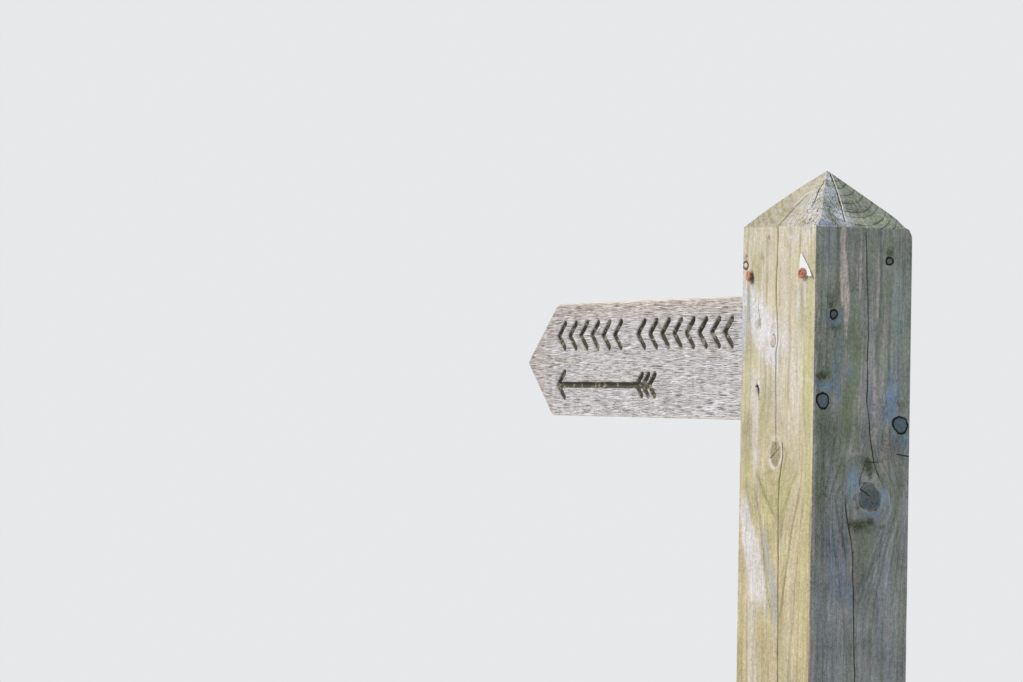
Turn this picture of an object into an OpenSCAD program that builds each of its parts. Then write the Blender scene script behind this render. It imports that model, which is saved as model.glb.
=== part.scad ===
// Timber fingerpost: a square post with a four-way weathered top, and one pointed finger
// let into a mortise and nailed through the post's front cheek.
// Millimetres, +Z up. The origin is on the ground at the middle of the post.
// The post's front face looks along -Y, and the finger points along -X.

/* [Post] */
// Side of the square post
post_w = 100; // [95:1:125]
// Height of the post's tip above the ground
post_h = 1750; // [1500:10:2100]
// Radius of the four long arrises
arris_r = 1; // [0.5:0.5:6]

/* [Weathered top] */
// Pitch of the four sawn slopes, in degrees
top_pitch = 45; // [38:1:52]
// How much the eave stands too high at the front left corner, where the saw ran off
saw_error = 2.2; // [0:0.2:4]

/* [Finger] */
// Length of the finger outside the post, along its middle
finger_l = 407; // [300:1:600]
// Height of the finger board
finger_h = 107.5; // [90:0.5:130]
// Thickness of the finger board
finger_t = 28; // [22:1:34]
// Drop from the post's tip to the finger's top edge
finger_drop = 102.5; // [95:0.5:160]
// Length of the pointed end
point_l = 50; // [30:1:70]
// How much further out the lower shoulder of the point is sawn than the upper one
point_skew = 7; // [0:1:10]
// How far the tip lies below the finger's middle
tip_drop = 2.5; // [0:0.5:6]
// Radius of the worn tip
tip_r = 5; // [3:0.5:10]
// Chamfer that eases the finger's long edges
finger_ease = 1.2; // [0.5:0.1:2]
// Length of finger inside the post
tenon_l = 60; // [45:1:68]
// Gap between the finger and the mortise's sides, top and end
mortise_clear = 0.5; // [0.2:0.1:1]

/* [Routed marks] */
// Width of the router's cut
mark_w = 6.5; // [5:0.5:8]
// Depth of the cut
mark_depth = 3; // [1.5:0.5:4]
// Height of a chevron, from end to end
mark_h = 30; // [20:1:36]
// Distance from one chevron to the next
mark_pitch = 19.6; // [16:0.2:26]
// Distance of the first marks from the sharp tip
mark_start = 53; // [45:1:80]
// Length of the arrow
arrow_l = 163; // [120:1:200]

/* [Finger nails] */
// Length of each nail that holds the finger
finger_nail_l = 75; // [70:1:80]
// Shank diameter of the finger nails
finger_nail_d = 3.4; // [2.8:0.1:4]
// Head diameter of the finger nails
finger_nail_head_d = 4.6; // [4.2:0.1:6]
// Depth to which their heads are punched below the face
finger_nail_sink = 2.5; // [1:0.5:4]
// Distance of the finger nails from the side face that the finger enters
finger_nail_inset = 23; // [15:1:30]
// Distance of each finger nail from the finger's nearer edge
finger_nail_edge = 24; // [18:1:35]

/* [Disc nails] */
// Distance between the two nails of the lost waymark disc
disc_nail_gap = 73.5; // [60:0.5:80]
// How far the disc was nailed off the post's middle, towards the finger
disc_off = 2; // [0:0.5:5]
// Drop from the post's tip to the two disc nails
disc_drop = 89; // [85:0.2:95]
// Shank diameter of the disc nails
disc_nail_d = 3; // [2.5:0.1:3.4]
// Head diameter of the disc nails
disc_nail_head_d = 9; // [7:0.5:10]
// Thickness of their domed heads
disc_nail_head_t = 1.5; // [1:0.1:2]
// Length of the disc nails under the head
disc_nail_l = 38; // [30:1:45]
// How far the left nail's head stands off the post
disc_nail_stand_left = 1.6; // [1.4:0.2:5]
// How far the right nail's head stands off the post
disc_nail_stand_right = 2; // [1.8:0.2:4]
// Lean of the left nail towards the finger, in degrees
disc_nail_lean_left = 14; // [0:1:20]
// Lean of the right nail away from the finger, in degrees
disc_nail_lean_right = 12; // [0:1:15]

/* [Disc remnant] */
// Diameter of the disc that the remnant is torn from
disc_d = 94; // [90:1:100]
// Thickness of the disc
disc_t = 1; // [0.6:0.1:1.2]
// Direction of the remnant's rim from its nail, in degrees above level
remnant_turn = 42; // [35:1:50]
// Length of the remnant's longer side, up from its nail
remnant_l = 17; // [12:1:20]

/* [Drying checks] */
// Width of the two long checks at their widest
check_w = 1.2; // [0.8:0.1:2]
// Depth of the front face's check
check_depth = 28; // [15:1:30]

/* [Hidden] */
$fn = 48;

half_w = post_w / 2;
over = 1;
drive_clear = 0.05;

eave_z = post_h - half_w * tan(top_pitch);
// Heights of the four eave corners: front left, front right, back right, back left
corner_z = [eave_z + saw_error, eave_z - 1, eave_z + 0.3, eave_z];
corner_xy = [[-half_w, -half_w], [half_w, -half_w], [half_w, half_w], [-half_w, half_w]];

finger_top_z = post_h - finger_drop;
finger_bottom_z = finger_top_z - finger_h;
tip_x = -half_w - finger_l;
shoulder_top = [tip_x + point_l + point_skew / 2, finger_top_z];
shoulder_bottom = [tip_x + point_l - point_skew / 2, finger_bottom_z];
tip = [tip_x, finger_bottom_z + finger_h / 2 - tip_drop];
tenon_x = -half_w + tenon_l;

// The chevrons' row and the arrow, at shares of the finger's height
chevron_z = finger_bottom_z + finger_h * 0.71;
arrow_z = finger_bottom_z + finger_h * 0.275;
chevron_reach = 11;
mark_clear = 52;
chevron_places = floor((finger_l - mark_start - mark_clear) / mark_pitch);
chevron_gap_at = 6;

finger_nail_x = -half_w + finger_nail_inset;
finger_nail_head_t = 1.6;
nail_point_l = 5;

disc_z = post_h - disc_drop;
disc_hole_d = disc_nail_d + 1.4;
rim_margin = (disc_d - disc_nail_gap) / 2;

// Where the long checks turn: [drop below the post's tip, place across the face].
// The front one swings round two live knots, and those of the side face stop at a third.
front_check = [[-2, -1], [110, -1.5], [140, 0.7], [157, -2], [222, -0.5], [238, 9.5], [260, 5],
               [420, 8], [post_h * 0.6, 5], [post_h + over, 1]];
side_check_upper = [[38, 1.5], [120, 5], [200, 6], [240, 12.5], [263, 23], [280, 31]];
side_check_lower = [[268, -15.8], [300, -10], [420, -3], [post_h * 0.5, -4], [post_h + over, 2]];
side_check_depth = 11;

// Dead knots, each in a ring of bark. They sit at a share of the face's half width, and at a drop
// below the tip. Face 0 is the front, and 1, 2 and 3 follow it anticlockwise, seen from above.
dead_knots = [[1, 0.53, 76.5, 3.8], [1, -0.6, 121.5, 3.9], [1, -0.8, 192, 6.2],
              [1, 0.81, 211, 7.4], [0, -0.13, 143.6, 3.6]];
ring_gap = 0.8;
ring_depth = 2;

function unit(v) = v / norm(v);

// The slit of a check opens towards the middle of its length and closes at its ends
function slit_half(i, n, width) =
    width / 2 * (0.35 + 0.65 * pow(sin(180 * (i + 0.5) / n), 0.5));

// Turns what is drawn for the front face onto another face
module on_face(face) {
    rotate([0, 0, 90 * face]) children();
}

// A wandering vertical slit in the front face, through the points of line
module check_slit(line, width, depth) {
    n = len(line);
    left = [for (i = [0:n - 1]) [line[i][1] - slit_half(i, n, width), post_h - line[i][0]]];
    right = [for (i = [n - 1:-1:0]) [line[i][1] + slit_half(i, n, width), post_h - line[i][0]]];
    translate([0, -half_w + depth, 0])
        rotate([90, 0, 0])
            linear_extrude(depth + over)
                polygon(concat(left, right));
}

// A straight radial check in a slope: from and to are seen from above
module top_check(from, to, width, depth) {
    run = norm(to - from);
    fall = tan(top_pitch) * (max(abs(to[0]), abs(to[1])) - max(abs(from[0]), abs(from[1])));
    start_z = post_h - tan(top_pitch) * max(abs(from[0]), abs(from[1]));
    translate([from[0], from[1], start_z])
        rotate([0, 0, atan2(to[1] - from[1], to[0] - from[0])])
            translate([0, width / 2, 0])
                rotate([90, 0, 0])
                    linear_extrude(width)
                        polygon([[0, 6], [run, 6 - fall], [run, -fall], [run * 0.6, -depth - fall * 0.6],
                                 [0, -depth]]);
}

// The gap round a dead knot in the front face, at a share of its half width
module knot_ring(share, drop, r) {
    translate([share * half_w, -half_w + ring_depth, post_h - drop])
        rotate([90, 0, 0])
            difference() {
                cylinder(h = ring_depth + over, r = r + ring_gap);
                translate([0, 0, -over]) cylinder(h = ring_depth + 3 * over, r = r);
            }
}

module rounded_square(side, r) {
    square([side, side - 2 * r], center = true);
    square([side - 2 * r, side], center = true);
    for (x = [-1, 1], y = [-1, 1])
        translate([x, y] * (side / 2 - r)) circle(r);
}

// What the saw takes off above the slope between eave corners i and i + 1
module above_slope(i) {
    tip_point = [0, 0, post_h];
    a = [corner_xy[i][0], corner_xy[i][1], corner_z[i]];
    j = (i + 1) % 4;
    b = [corner_xy[j][0], corner_xy[j][1], corner_z[j]];
    normal = unit(cross(a - tip_point, b - tip_point));
    translate(tip_point)
        rotate([0, acos(normal[2]), atan2(normal[1], normal[0])])
            translate([-post_w, -post_w, 0]) cube([2 * post_w, 2 * post_w, post_w]);
}

module mortise() {
    translate([-half_w - over, -finger_t / 2 - mortise_clear, finger_bottom_z])
        cube([tenon_l + mortise_clear + over, finger_t + 2 * mortise_clear,
              finger_h + mortise_clear]);
}

// A turned nail along Z: its head is up, and the underside of the head is at z = 0
module nail(shank_d, head_d, head_t, length, grow = 0) {
    shank_r = shank_d / 2 + grow;
    head_r = head_d / 2 + grow;
    rotate_extrude()
        polygon([[0, -length - grow], [shank_r * 0.3, -length - grow],
                 [shank_r, -length + nail_point_l - grow], [shank_r, -grow], [head_r, -grow],
                 [head_r, head_t * 0.4 + grow], [head_r * 0.85, head_t * 0.75 + grow],
                 [head_r * 0.45, head_t + grow], [0, head_t + grow]]);
}

module finger_nail(z, grow = 0) {
    translate([finger_nail_x, -half_w + finger_nail_sink + finger_nail_head_t, z])
        rotate([90, 0, 0])
            nail(finger_nail_d, finger_nail_head_d, finger_nail_head_t, finger_nail_l, grow);
}

// The punched hole in the wood outside a sunken head
module punch_hole(z) {
    translate([finger_nail_x, -half_w + finger_nail_sink, z])
        rotate([90, 0, 0])
            cylinder(h = finger_nail_sink + over, r = finger_nail_head_d / 2 + drive_clear);
}

module disc_nail(side, stand, lean, grow = 0) {
    translate([side * disc_nail_gap / 2 - disc_off, -half_w, disc_z])
        rotate([0, 0, side * lean])
            translate([0, -stand, 0])
                rotate([90, 0, 0])
                    nail(disc_nail_d, disc_nail_head_d, disc_nail_head_t, disc_nail_l, grow);
}

upper_nail_z = finger_top_z - finger_nail_edge;
lower_nail_z = finger_bottom_z + finger_nail_edge;

module post() {
    color([0.72, 0.68, 0.53])
        difference() {
            linear_extrude(post_h + over) rounded_square(post_w, arris_r);
            for (i = [0:3]) above_slope(i);
            mortise();
            for (z = [upper_nail_z, lower_nail_z]) {
                finger_nail(z, drive_clear);
                punch_hole(z);
            }
            disc_nail(-1, disc_nail_stand_left, disc_nail_lean_left, drive_clear);
            disc_nail(1, disc_nail_stand_right, disc_nail_lean_right, drive_clear);
            check_slit(front_check, check_w, check_depth);
            on_face(1) {
                check_slit(side_check_upper, check_w, side_check_depth);
                check_slit(side_check_lower, check_w, side_check_depth);
            }
            top_check([2, 1], [44, -16], 0.8, 12);
            top_check([9.2, -15.9], [18.7, -28.6], 0.7, 5);
            for (k = dead_knots) on_face(k[0]) knot_ring(k[1], k[2], k[3]);
        }
}

// Points of the arc of radius r that corner p has worn to, from the edge to a to the edge to b
function worn_corner(a, p, b, r, steps) =
    let (to_a = unit(a - p), to_b = unit(b - p), inward = unit(to_a + to_b),
         half = acos(to_a * to_b) / 2, centre = p + inward * r / sin(half),
         middle = atan2(-inward[1], -inward[0]))
    [for (i = [0:steps]) let (turn = middle + (90 - half) * (1 - 2 * i / steps))
        centre + r * [cos(turn), sin(turn)]];

// The finger's two ends, seen from the front: the point's sawn edges run on past the shoulders,
// where the board's section ends them
module finger_outline() {
    past_top = shoulder_top + (shoulder_top - tip) * 0.1;
    past_bottom = shoulder_bottom + (shoulder_bottom - tip) * 0.1;
    polygon(concat([[tenon_x, past_bottom[1]], past_bottom],
                   worn_corner(shoulder_top, tip, shoulder_bottom, tip_r, 6),
                   [past_top, [tenon_x, past_top[1]]]));
}

// The board's cross-section with its four long edges eased
module board_section() {
    y = finger_t / 2;
    e = finger_ease;
    polygon([[-y, e], [-y + e, 0], [y - e, 0], [y, e], [y, finger_h - e], [y - e, finger_h],
             [-y + e, finger_h], [-y, finger_h - e]]);
}

// A chevron that points along -X from its tip, as wide as the router's cut
module chevron(reach, height) {
    over_x = mark_w / 2 * norm([reach, height / 2]) / (height / 2);
    polygon([[0, 0], [reach, height / 2], [reach + 2 * over_x, height / 2], [2 * over_x, 0],
             [reach + 2 * over_x, -height / 2], [reach, -height / 2]]);
}

// The marks in the finger's front, seen from there: a row of chevrons with a gap, over an arrow
module routed_marks() {
    start = tip_x + mark_start;
    for (i = [0:chevron_places - 1])
        if (i != chevron_gap_at)
            translate([start + i * mark_pitch, chevron_z]) chevron(chevron_reach, mark_h);
    translate([start, arrow_z]) {
        chevron(chevron_reach, mark_h);
        translate([mark_w / 2, -mark_w / 2]) square([arrow_l - mark_w, mark_w]);
        for (i = [0:2])
            translate([arrow_l - mark_w * (2 + 1.6 * i) - chevron_reach, 0])
                chevron(chevron_reach * 0.85, mark_h * 0.85);
    }
}

module finger() {
    color([0.74, 0.71, 0.66])
        difference() {
            intersection() {
                translate([0, finger_t, 0])
                    rotate([90, 0, 0]) linear_extrude(2 * finger_t) finger_outline();
                translate([tip_x - over, 0, finger_bottom_z])
                    rotate([90, 0, 90]) linear_extrude(finger_l + tenon_l + 2 * over) board_section();
            }
            for (z = [upper_nail_z, lower_nail_z]) finger_nail(z, drive_clear);
            for (y = [-finger_t / 2 + mark_depth, finger_t / 2 + over])
                translate([0, y, 0])
                    rotate([90, 0, 0]) linear_extrude(mark_depth + over) routed_marks();
        }
}

module finger_nail_upper() {
    color([0.25, 0.2, 0.18]) finger_nail(upper_nail_z);
}

module finger_nail_lower() {
    color([0.25, 0.2, 0.18]) finger_nail(lower_nail_z);
}

module disc_nail_left() {
    color([0.55, 0.28, 0.17]) disc_nail(-1, disc_nail_stand_left, disc_nail_lean_left);
}

module disc_nail_right() {
    color([0.55, 0.28, 0.17]) disc_nail(1, disc_nail_stand_right, disc_nail_lean_right);
}

// A strip of the old disc's rim that still hangs on its nail, torn along the other sides
module disc_remnant() {
    nail_at = [disc_nail_gap / 2 - disc_off, disc_z];
    rim_out = [cos(remnant_turn), sin(remnant_turn)];
    torn = [[-3.8, remnant_l], [-4.2, 4.5], [-3.6, -2.4], [0.6, -3.2], [7.5, -4], [disc_d / 4, -2],
            [disc_d / 4, remnant_l]];
    color([0.93, 0.93, 0.92])
        translate([0, -half_w, 0])
            rotate([90, 0, 0])
                linear_extrude(disc_t)
                    difference() {
                        intersection() {
                            translate(nail_at + rim_out * (rim_margin - disc_d / 2))
                                circle(disc_d / 2, $fn = 96);
                            translate(nail_at) polygon(torn);
                        }
                        translate(nail_at) circle(disc_hole_d / 2);
                    }
}

post();
finger();
finger_nail_upper();
finger_nail_lower();
disc_nail_left();
disc_nail_right();
disc_remnant();
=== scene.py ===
# %% [markdown]
# # A weathered fingerpost
# This lesson dresses a plain CAD model of a wooden signpost: a square softwood post with a
# four-way sloped top, a pointed hardwood finger let into its side, two rusty nails and the last
# strip of a plastic disc. The CAD model is loaded as a fixed frame. Each piece that needs a finer
# surface is built again in mesh code, at the same place and size, and takes the CAD piece's place.

# %% Load the frame
import functools
import math

import bpy
import numpy as np
from mathutils import Matrix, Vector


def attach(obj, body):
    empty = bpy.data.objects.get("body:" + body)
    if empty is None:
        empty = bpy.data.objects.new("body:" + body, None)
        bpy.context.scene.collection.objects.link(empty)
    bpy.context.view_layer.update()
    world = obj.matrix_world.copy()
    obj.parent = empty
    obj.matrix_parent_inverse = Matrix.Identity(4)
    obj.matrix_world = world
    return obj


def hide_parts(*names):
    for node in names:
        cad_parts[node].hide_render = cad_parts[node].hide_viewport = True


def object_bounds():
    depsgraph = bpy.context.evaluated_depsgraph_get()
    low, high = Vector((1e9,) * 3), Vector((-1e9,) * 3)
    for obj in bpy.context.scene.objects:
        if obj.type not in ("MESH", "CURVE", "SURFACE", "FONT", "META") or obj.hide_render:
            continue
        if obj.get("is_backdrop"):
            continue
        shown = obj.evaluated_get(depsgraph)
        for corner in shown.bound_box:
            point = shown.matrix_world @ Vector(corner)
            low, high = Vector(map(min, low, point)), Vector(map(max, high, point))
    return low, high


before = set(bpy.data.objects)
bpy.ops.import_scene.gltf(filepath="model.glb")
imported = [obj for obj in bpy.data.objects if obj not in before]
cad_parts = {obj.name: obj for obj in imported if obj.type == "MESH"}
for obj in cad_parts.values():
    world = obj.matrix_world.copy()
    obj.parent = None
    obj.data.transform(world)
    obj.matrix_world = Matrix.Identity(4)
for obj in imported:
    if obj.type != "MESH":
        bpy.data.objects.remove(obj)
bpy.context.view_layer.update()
MM = 0.001
print("CAD pieces:", ", ".join(sorted(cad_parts)))

# %% [markdown]
# ## The camera
# The photograph is taken from the right of the nailed face, a little above the finger, through a
# long lens. The angles below turn a level camera: first round the vertical, then up, then a small
# roll, because the picture leans by a degree.

# %% The camera
yaw, pitch, roll = (math.radians(angle) for angle in (59.297, 1.376, 1.066))
along = np.array([-math.sin(yaw) * math.cos(pitch), math.cos(yaw) * math.cos(pitch), math.sin(pitch)])
level = np.array([math.cos(yaw), math.sin(yaw), 0.0])
above = np.cross(level, along)
across_view = math.cos(roll) * level + math.sin(roll) * above
up_view = math.cos(roll) * above - math.sin(roll) * level
CAMERA_PLACE = (1.7298, -1.3318, 1.5507)

camera = bpy.data.objects.new("camera", bpy.data.cameras.new("camera"))
bpy.context.scene.collection.objects.link(camera)
turn_and_place = np.column_stack([across_view, up_view, -along, CAMERA_PLACE])
camera.matrix_world = Matrix([*turn_and_place.tolist(), [0, 0, 0, 1]])
camera.data.sensor_width, camera.data.lens, camera.data.clip_end = 36, 91.51, 200
bpy.context.scene.camera = camera
print("camera at", [round(v, 3) for v in camera.location], "lens", camera.data.lens)

# %% [markdown]
# ## Helpers for shader nodes
# A finish is a tree of nodes. Made by hand in code, each node takes four or five lines, so short
# helpers keep the recipes readable. They all build in one current tree, which is set when a finish
# or a node group is started. Places on a piece are measured in millimetres, in `plan`.

# %% Helpers for shader nodes
def put(kind, feeds=None, out=0, **settings):
    """Adds a node, sets it, feeds its inputs with sockets or plain values, and returns an output."""
    node = tree.nodes.new("ShaderNode" + kind)
    for name, value in settings.items():
        setattr(node, name, value)
    for key, value in (feeds or {}).items():
        if isinstance(value, bpy.types.NodeSocket):
            tree.links.new(value, node.inputs[key])
        else:
            node.inputs[key].default_value = value
    return node.outputs if out is None else node.outputs[out]


def maths(operation, *values, clamp=False):
    return put("Math", dict(enumerate(values)), operation=operation, use_clamp=clamp)


def total(*values):
    return functools.reduce(functools.partial(maths, "ADD"), values)


def product(*values):
    return functools.reduce(functools.partial(maths, "MULTIPLY"), values)


def between(value, low, high, start=0.0, end=1.0):
    """Carries value smoothly from start, at low, to end, at high, and stops there."""
    feeds = {"Value": value, "From Min": low, "From Max": high, "To Min": start, "To Max": end}
    return put("MapRange", feeds, interpolation_type="SMOOTHSTEP")


def band(value, start, full, fall, end):
    """Rises from 0 to 1 as value goes from start to full, and falls to 0 again from fall to end."""
    return product(between(value, start, full), between(value, fall, end, 1, 0))


def stored(name):
    """Reads a value that the mesh code has stored on the piece."""
    return put("Attribute", attribute_name=name, out="Fac")


def noise(scale, detail=2, roughness=0.6, vector=None):
    place = plan if vector is None else vector
    return put("TexNoise", {"Vector": place, "Scale": scale, "Detail": detail, "Roughness": roughness})


def swing(value, amount):
    """A noise value turned into a push to either side of 0."""
    return product(maths("SUBTRACT", value, 0.5), amount)


print("nine helpers for values, from put to swing")

# %% Helpers for colours
def mixed(amount, first, second, how="MIX"):
    """Mixes two colours: amount 0 gives the first, and 1 the second."""
    first, second = ((*c, 1) if isinstance(c, tuple) else c for c in (first, second))
    return put("Mix", {0: amount, 6: first, 7: second}, out=2,
               data_type="RGBA", blend_type=how, clamp_factor=True)


def laid(colour, amount, paint, in_shade=None):
    """Lays a paint over a colour. A second paint is the one for the shaded faces."""
    return mixed(amount, colour, paint if in_shade is None else mixed(shade, paint, in_shade))


def tinted(colour, tint):
    return mixed(1.0, colour, tint, "MULTIPLY")


def grey(brightness):
    return put("CombineColor", {0: brightness, 1: brightness, 2: brightness})


print("four helpers for colours, from mixed to grey")

# %% Helpers for node groups and materials
def new_group(name, **inputs):
    """Starts a node group with one output. inputs names its sockets and gives their plain values."""
    global tree
    tree = bpy.data.node_groups.new(name, "ShaderNodeTree")
    for socket, value in inputs.items():
        made = tree.interface.new_socket(socket, in_out="INPUT", socket_type="NodeSocketFloat")
        made.default_value = value
        made.min_value, made.max_value = -100000, 100000
    tree.interface.new_socket("Amount", in_out="OUTPUT", socket_type="NodeSocketFloat")
    return tree, tree.nodes.new("NodeGroupInput").outputs


def close_group(amount):
    tree.links.new(amount, tree.nodes.new("NodeGroupOutput").inputs["Amount"])


def use(group, **feeds):
    """Places a node group in the current tree."""
    return put("Group", feeds, node_tree=group)


def new_finish(name, **constants):
    """Starts a material. constants are plain values on the Principled shader's own sockets."""
    global tree, shader, plan
    material = bpy.data.materials.new(name)
    material.use_nodes = True
    tree = material.node_tree
    shader = tree.nodes["Principled BSDF"].inputs
    for socket, value in constants.items():
        shader[socket.replace("_", " ")].default_value = value
    in_metres = put("TexCoord", out="Object")
    plan = put("VectorMath", {0: in_metres, 1: (1000, 1000, 1000)}, operation="MULTIPLY")
    return material


def close_finish(colour, roughness=None, relief=None, strength=0.5, depth=0.0007):
    """Feeds the Principled shader: colour, roughness, and the finest relief, its depth in metres."""
    if relief is not None:
        relief = put("Bump", {"Height": relief, "Strength": strength, "Distance": depth}, out="Normal")
    for socket, value in (("Base Color", colour), ("Roughness", roughness), ("Normal", relief)):
        if value is not None:
            tree.links.new(value, shader[socket])


print("five helpers for groups and materials, from new_group to close_finish")

# %% [markdown]
# ## Floor, light and background
# A plain pale floor and a soft studio light show the object without a setting. One wide, soft key
# light comes from the left, as the sun does in the photograph, so the nailed face is bright and the
# right face lies in soft shade. The world fills in from all round. Far from the post the floor
# fades into the background's own colour, so no horizon line shows behind the object.

# %% Floor and background
PALE = (0.80, 0.81, 0.82, 1)
floor_mesh = bpy.data.meshes.new("floor")
floor_mesh.from_pydata([(-60, -60, 0), (60, -60, 0), (60, 60, 0), (-60, 60, 0)], [], [(0, 1, 2, 3)])
floor = bpy.data.objects.new("floor", floor_mesh)
bpy.context.scene.collection.objects.link(floor)
floor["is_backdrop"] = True


def seen():
    """1 for a ray that shows the backdrop, straight, in a mirror or through glass, and else 0."""
    path = put("LightPath", out=None)
    indirect = maths("MAXIMUM", path["Is Glossy Ray"], path["Is Transmission Ray"])
    return maths("MAXIMUM", path["Is Camera Ray"], indirect)


def close_surface(amount, near, far, output):
    tree.links.new(put("MixShader", {0: amount, 1: near, 2: far}), tree.nodes[output].inputs["Surface"])


floor_finish = new_finish("pale_floor", Base_Color=(0.74, 0.74, 0.74, 1), Roughness=0.9,
                          Specular_IOR_Level=0.1)
distance = put("VectorMath", {0: plan}, operation="LENGTH", out="Value")
close_surface(product(between(distance, 1200, 3500), seen()), tree.nodes["Principled BSDF"].outputs[0],
              put("Emission", {"Color": PALE, "Strength": 1.0}), "Material Output")
floor_mesh.materials.append(floor_finish)

world = bpy.data.worlds.new("studio")
bpy.context.scene.world = world
world.use_nodes = True
tree = world.node_tree
close_surface(seen(), put("Background", {"Color": (0.93, 0.96, 1.0, 1), "Strength": 0.5}),
              put("Background", {"Color": PALE, "Strength": 1.0}), "World Output")
print("the floor fades out between 1.2 and 3.5 m from the post")

# %% Light
# Each lamp: its name, energy, width in degrees, colour, and turn in degrees.
for name, energy, width, tint, turn in (("key_light", 2.6, 16, (1.0, 0.97, 0.92), (50, 0, -28)),
                                        ("rim_light", 0.8, 30, (1, 1, 1), (-68, 0, -6))):
    lamp = bpy.data.objects.new(name, bpy.data.lights.new(name, "SUN"))
    lamp.data.energy, lamp.data.angle, lamp.data.color = energy, math.radians(width), tint
    lamp.rotation_euler = [math.radians(angle) for angle in turn]
    bpy.context.scene.collection.objects.link(lamp)
    print(name, "falls along", [round(-v, 2) for v in lamp.rotation_euler.to_matrix().col[2]])
bpy.context.scene.view_settings.view_transform = "Standard"

# %% [markdown]
# ## Wandering values
# Nothing on old timber is straight or even. This helper gives numbers that wander smoothly between
# -1 and 1 over a surface. It starts from a seeded table, so each run gives the same post.

# %% Wandering values
def ease(value, low, high):
    """0 below low, 1 above high, and smooth between them."""
    t = np.clip((value - low) / (high - low), 0, 1)
    return t * t * (3 - 2 * t)


def window(value, low, high, soft):
    """1 between low and high, and 0 outside, with soft edges."""
    return ease(value, low - soft, low + soft) * ease(-value, -high - soft, -high + soft)


def wander(u, v, seed):
    """Smooth noise between -1 and 1, one unit of u or v from hill to hollow."""
    table = np.random.default_rng(seed).uniform(-1, 1, (128, 128))
    u, v = np.broadcast_arrays(np.asarray(u, float), np.asarray(v, float))
    left, low = np.floor(u).astype(int), np.floor(v).astype(int)
    a, b = ease(u - left, 0, 1), ease(v - low, 0, 1)
    lower, upper = (table[left % 128, row % 128] * (1 - a) + table[(left + 1) % 128, row % 128] * a
                    for row in (low, low + 1))
    return lower * (1 - b) + upper * b


def from_line(x, z, start, end):
    """Distance from a place to the straight line between two ends."""
    dx, dz = end[0] - start[0], end[1] - start[1]
    t = np.clip(((x - start[0]) * dx + (z - start[1]) * dz) / (dx * dx + dz * dz), 0, 1)
    return np.hypot(x - start[0] - t * dx, z - start[1] - t * dz)


print("wander at a few places:", wander(np.array([0.2, 1.4, 2.6]), 0.5, 1).round(2))

# %% [markdown]
# ## The post: faces, checks and knots
# The four faces are numbered from the front one with the nails, anticlockwise seen from above. A
# place on a face is given by its distance across from the face's middle line and its height, both
# in millimetres. Two things break the straight grain. Checks are the long cracks that open as a
# post dries. Knots are the feet of branches: a dead one sits loose in a black ring of bark, and a
# live one is grown in, with the grain swirling round it.

# %% The post: faces, checks and knots
HALF, TIP_Z, EAVE_Z, CORNER_R = 50.0, 1750.0, 1700.0, 0.6
FRONT, RIGHT, BACK, LEFT = range(4)
# The hole for the finger on the left face: from and to across, from and to up, and how far in
MORTISE, MORTISE_DEPTH = (-14.5, 14.5, 1540.0, 1648.0), 60.5

# Each check: its face, its open stretches, and its course as (height, across). A stretch has four
# heights, where it starts, is fully open, begins to close, and ends, and then how open it gets.
# Heights above the eaves go on up the slope, to 1750 at the tip.
CHECKS = [
    (FRONT, [(-40, -18, 1521, 1525, 0.8), (1526.5, 1530, 1720, 1734, 0.8)],
     [(1737, 0.7), (1729, 0.1), (1719, -0.9), (1711, -1.5), (1700, -2.0), (1683, -1.6), (1665, -2.6),
      (1652, -2.7), (1639, -2.3), (1626, -1.2), (1617, -0.4), (1607, 0.6), (1601, -0.9), (1596, -2.0),
      (1588, -2.1), (1568, -1.2), (1548, -0.4), (1527.5, -0.5), (1523.5, 8.2), (1518, 9.0), (1510, 9.7),
      (1500, 7.2), (1491, 5.5), (1473, 4.4), (1437, 5.2), (1395, 6.1), (1357, 6.8), (1328, 7.4),
      (1150, 4), (900, 6), (600, 1), (300, 4), (0, 2)]),
    (FRONT, [(1716, 1719, 1738, 1743, 0.75)],
     [(1750, 4), (1735, 10.6), (1732, 11.8), (1726, 16.6), (1720, 19.6), (1700, 30), (1600, 30),
      (0, 30)]),
    (RIGHT, [(-40, -18, 1470, 1479, 0.85), (1704, 1726, 1751, 1760, 0.3)],
     [(1750, 0), (1747, 0.1), (1738, -2.5), (1729.5, -5.6), (1720, -9.5), (1714, -12.2), (1705, -16.8),
      (1690, -17), (1520, -17), (1488, -16), (1479, -15.8), (1468, -14.7), (1455, -11.8), (1445, -9.2),
      (1428, -7.1), (1396, -5.8), (1330, -3.2), (1100, 0), (850, -5), (500, -1), (0, -3)]),
    (RIGHT, [(1481, 1503, 1694, 1701, 0.75)],
     [(1750, 3), (1730, 5), (1710, 1.3), (1700, 1.8), (1671, 2.6), (1650, 3.5), (1631, 5.0), (1609, 5.2),
      (1559, 5.1), (1547, 6.6), (1533, 8.4), (1519, 11.0), (1507, 13.8), (1497, 18.0), (1487, 23.3),
      (1477, 28.4), (1469, 31.1), (1440, 26), (1200, 14), (0, 14)]),
    (BACK, [(300, 322, 1713, 1722, 1)],
     [(1750, 0), (1700, -6), (1500, -3), (1300, -9), (1000, -4), (600, -8), (0, -5)]),
    (LEFT, [(620, 642, 1703, 1712, 1)],
     [(1750, 4), (1700, 24), (1600, 26), (1450, 22), (1200, 27), (900, 20), (0, 22)])]
# Half a fully open check's width, and its depth
GROOVE_HALF, GROOVE_DEPTH = 0.72, 7.0

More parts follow.
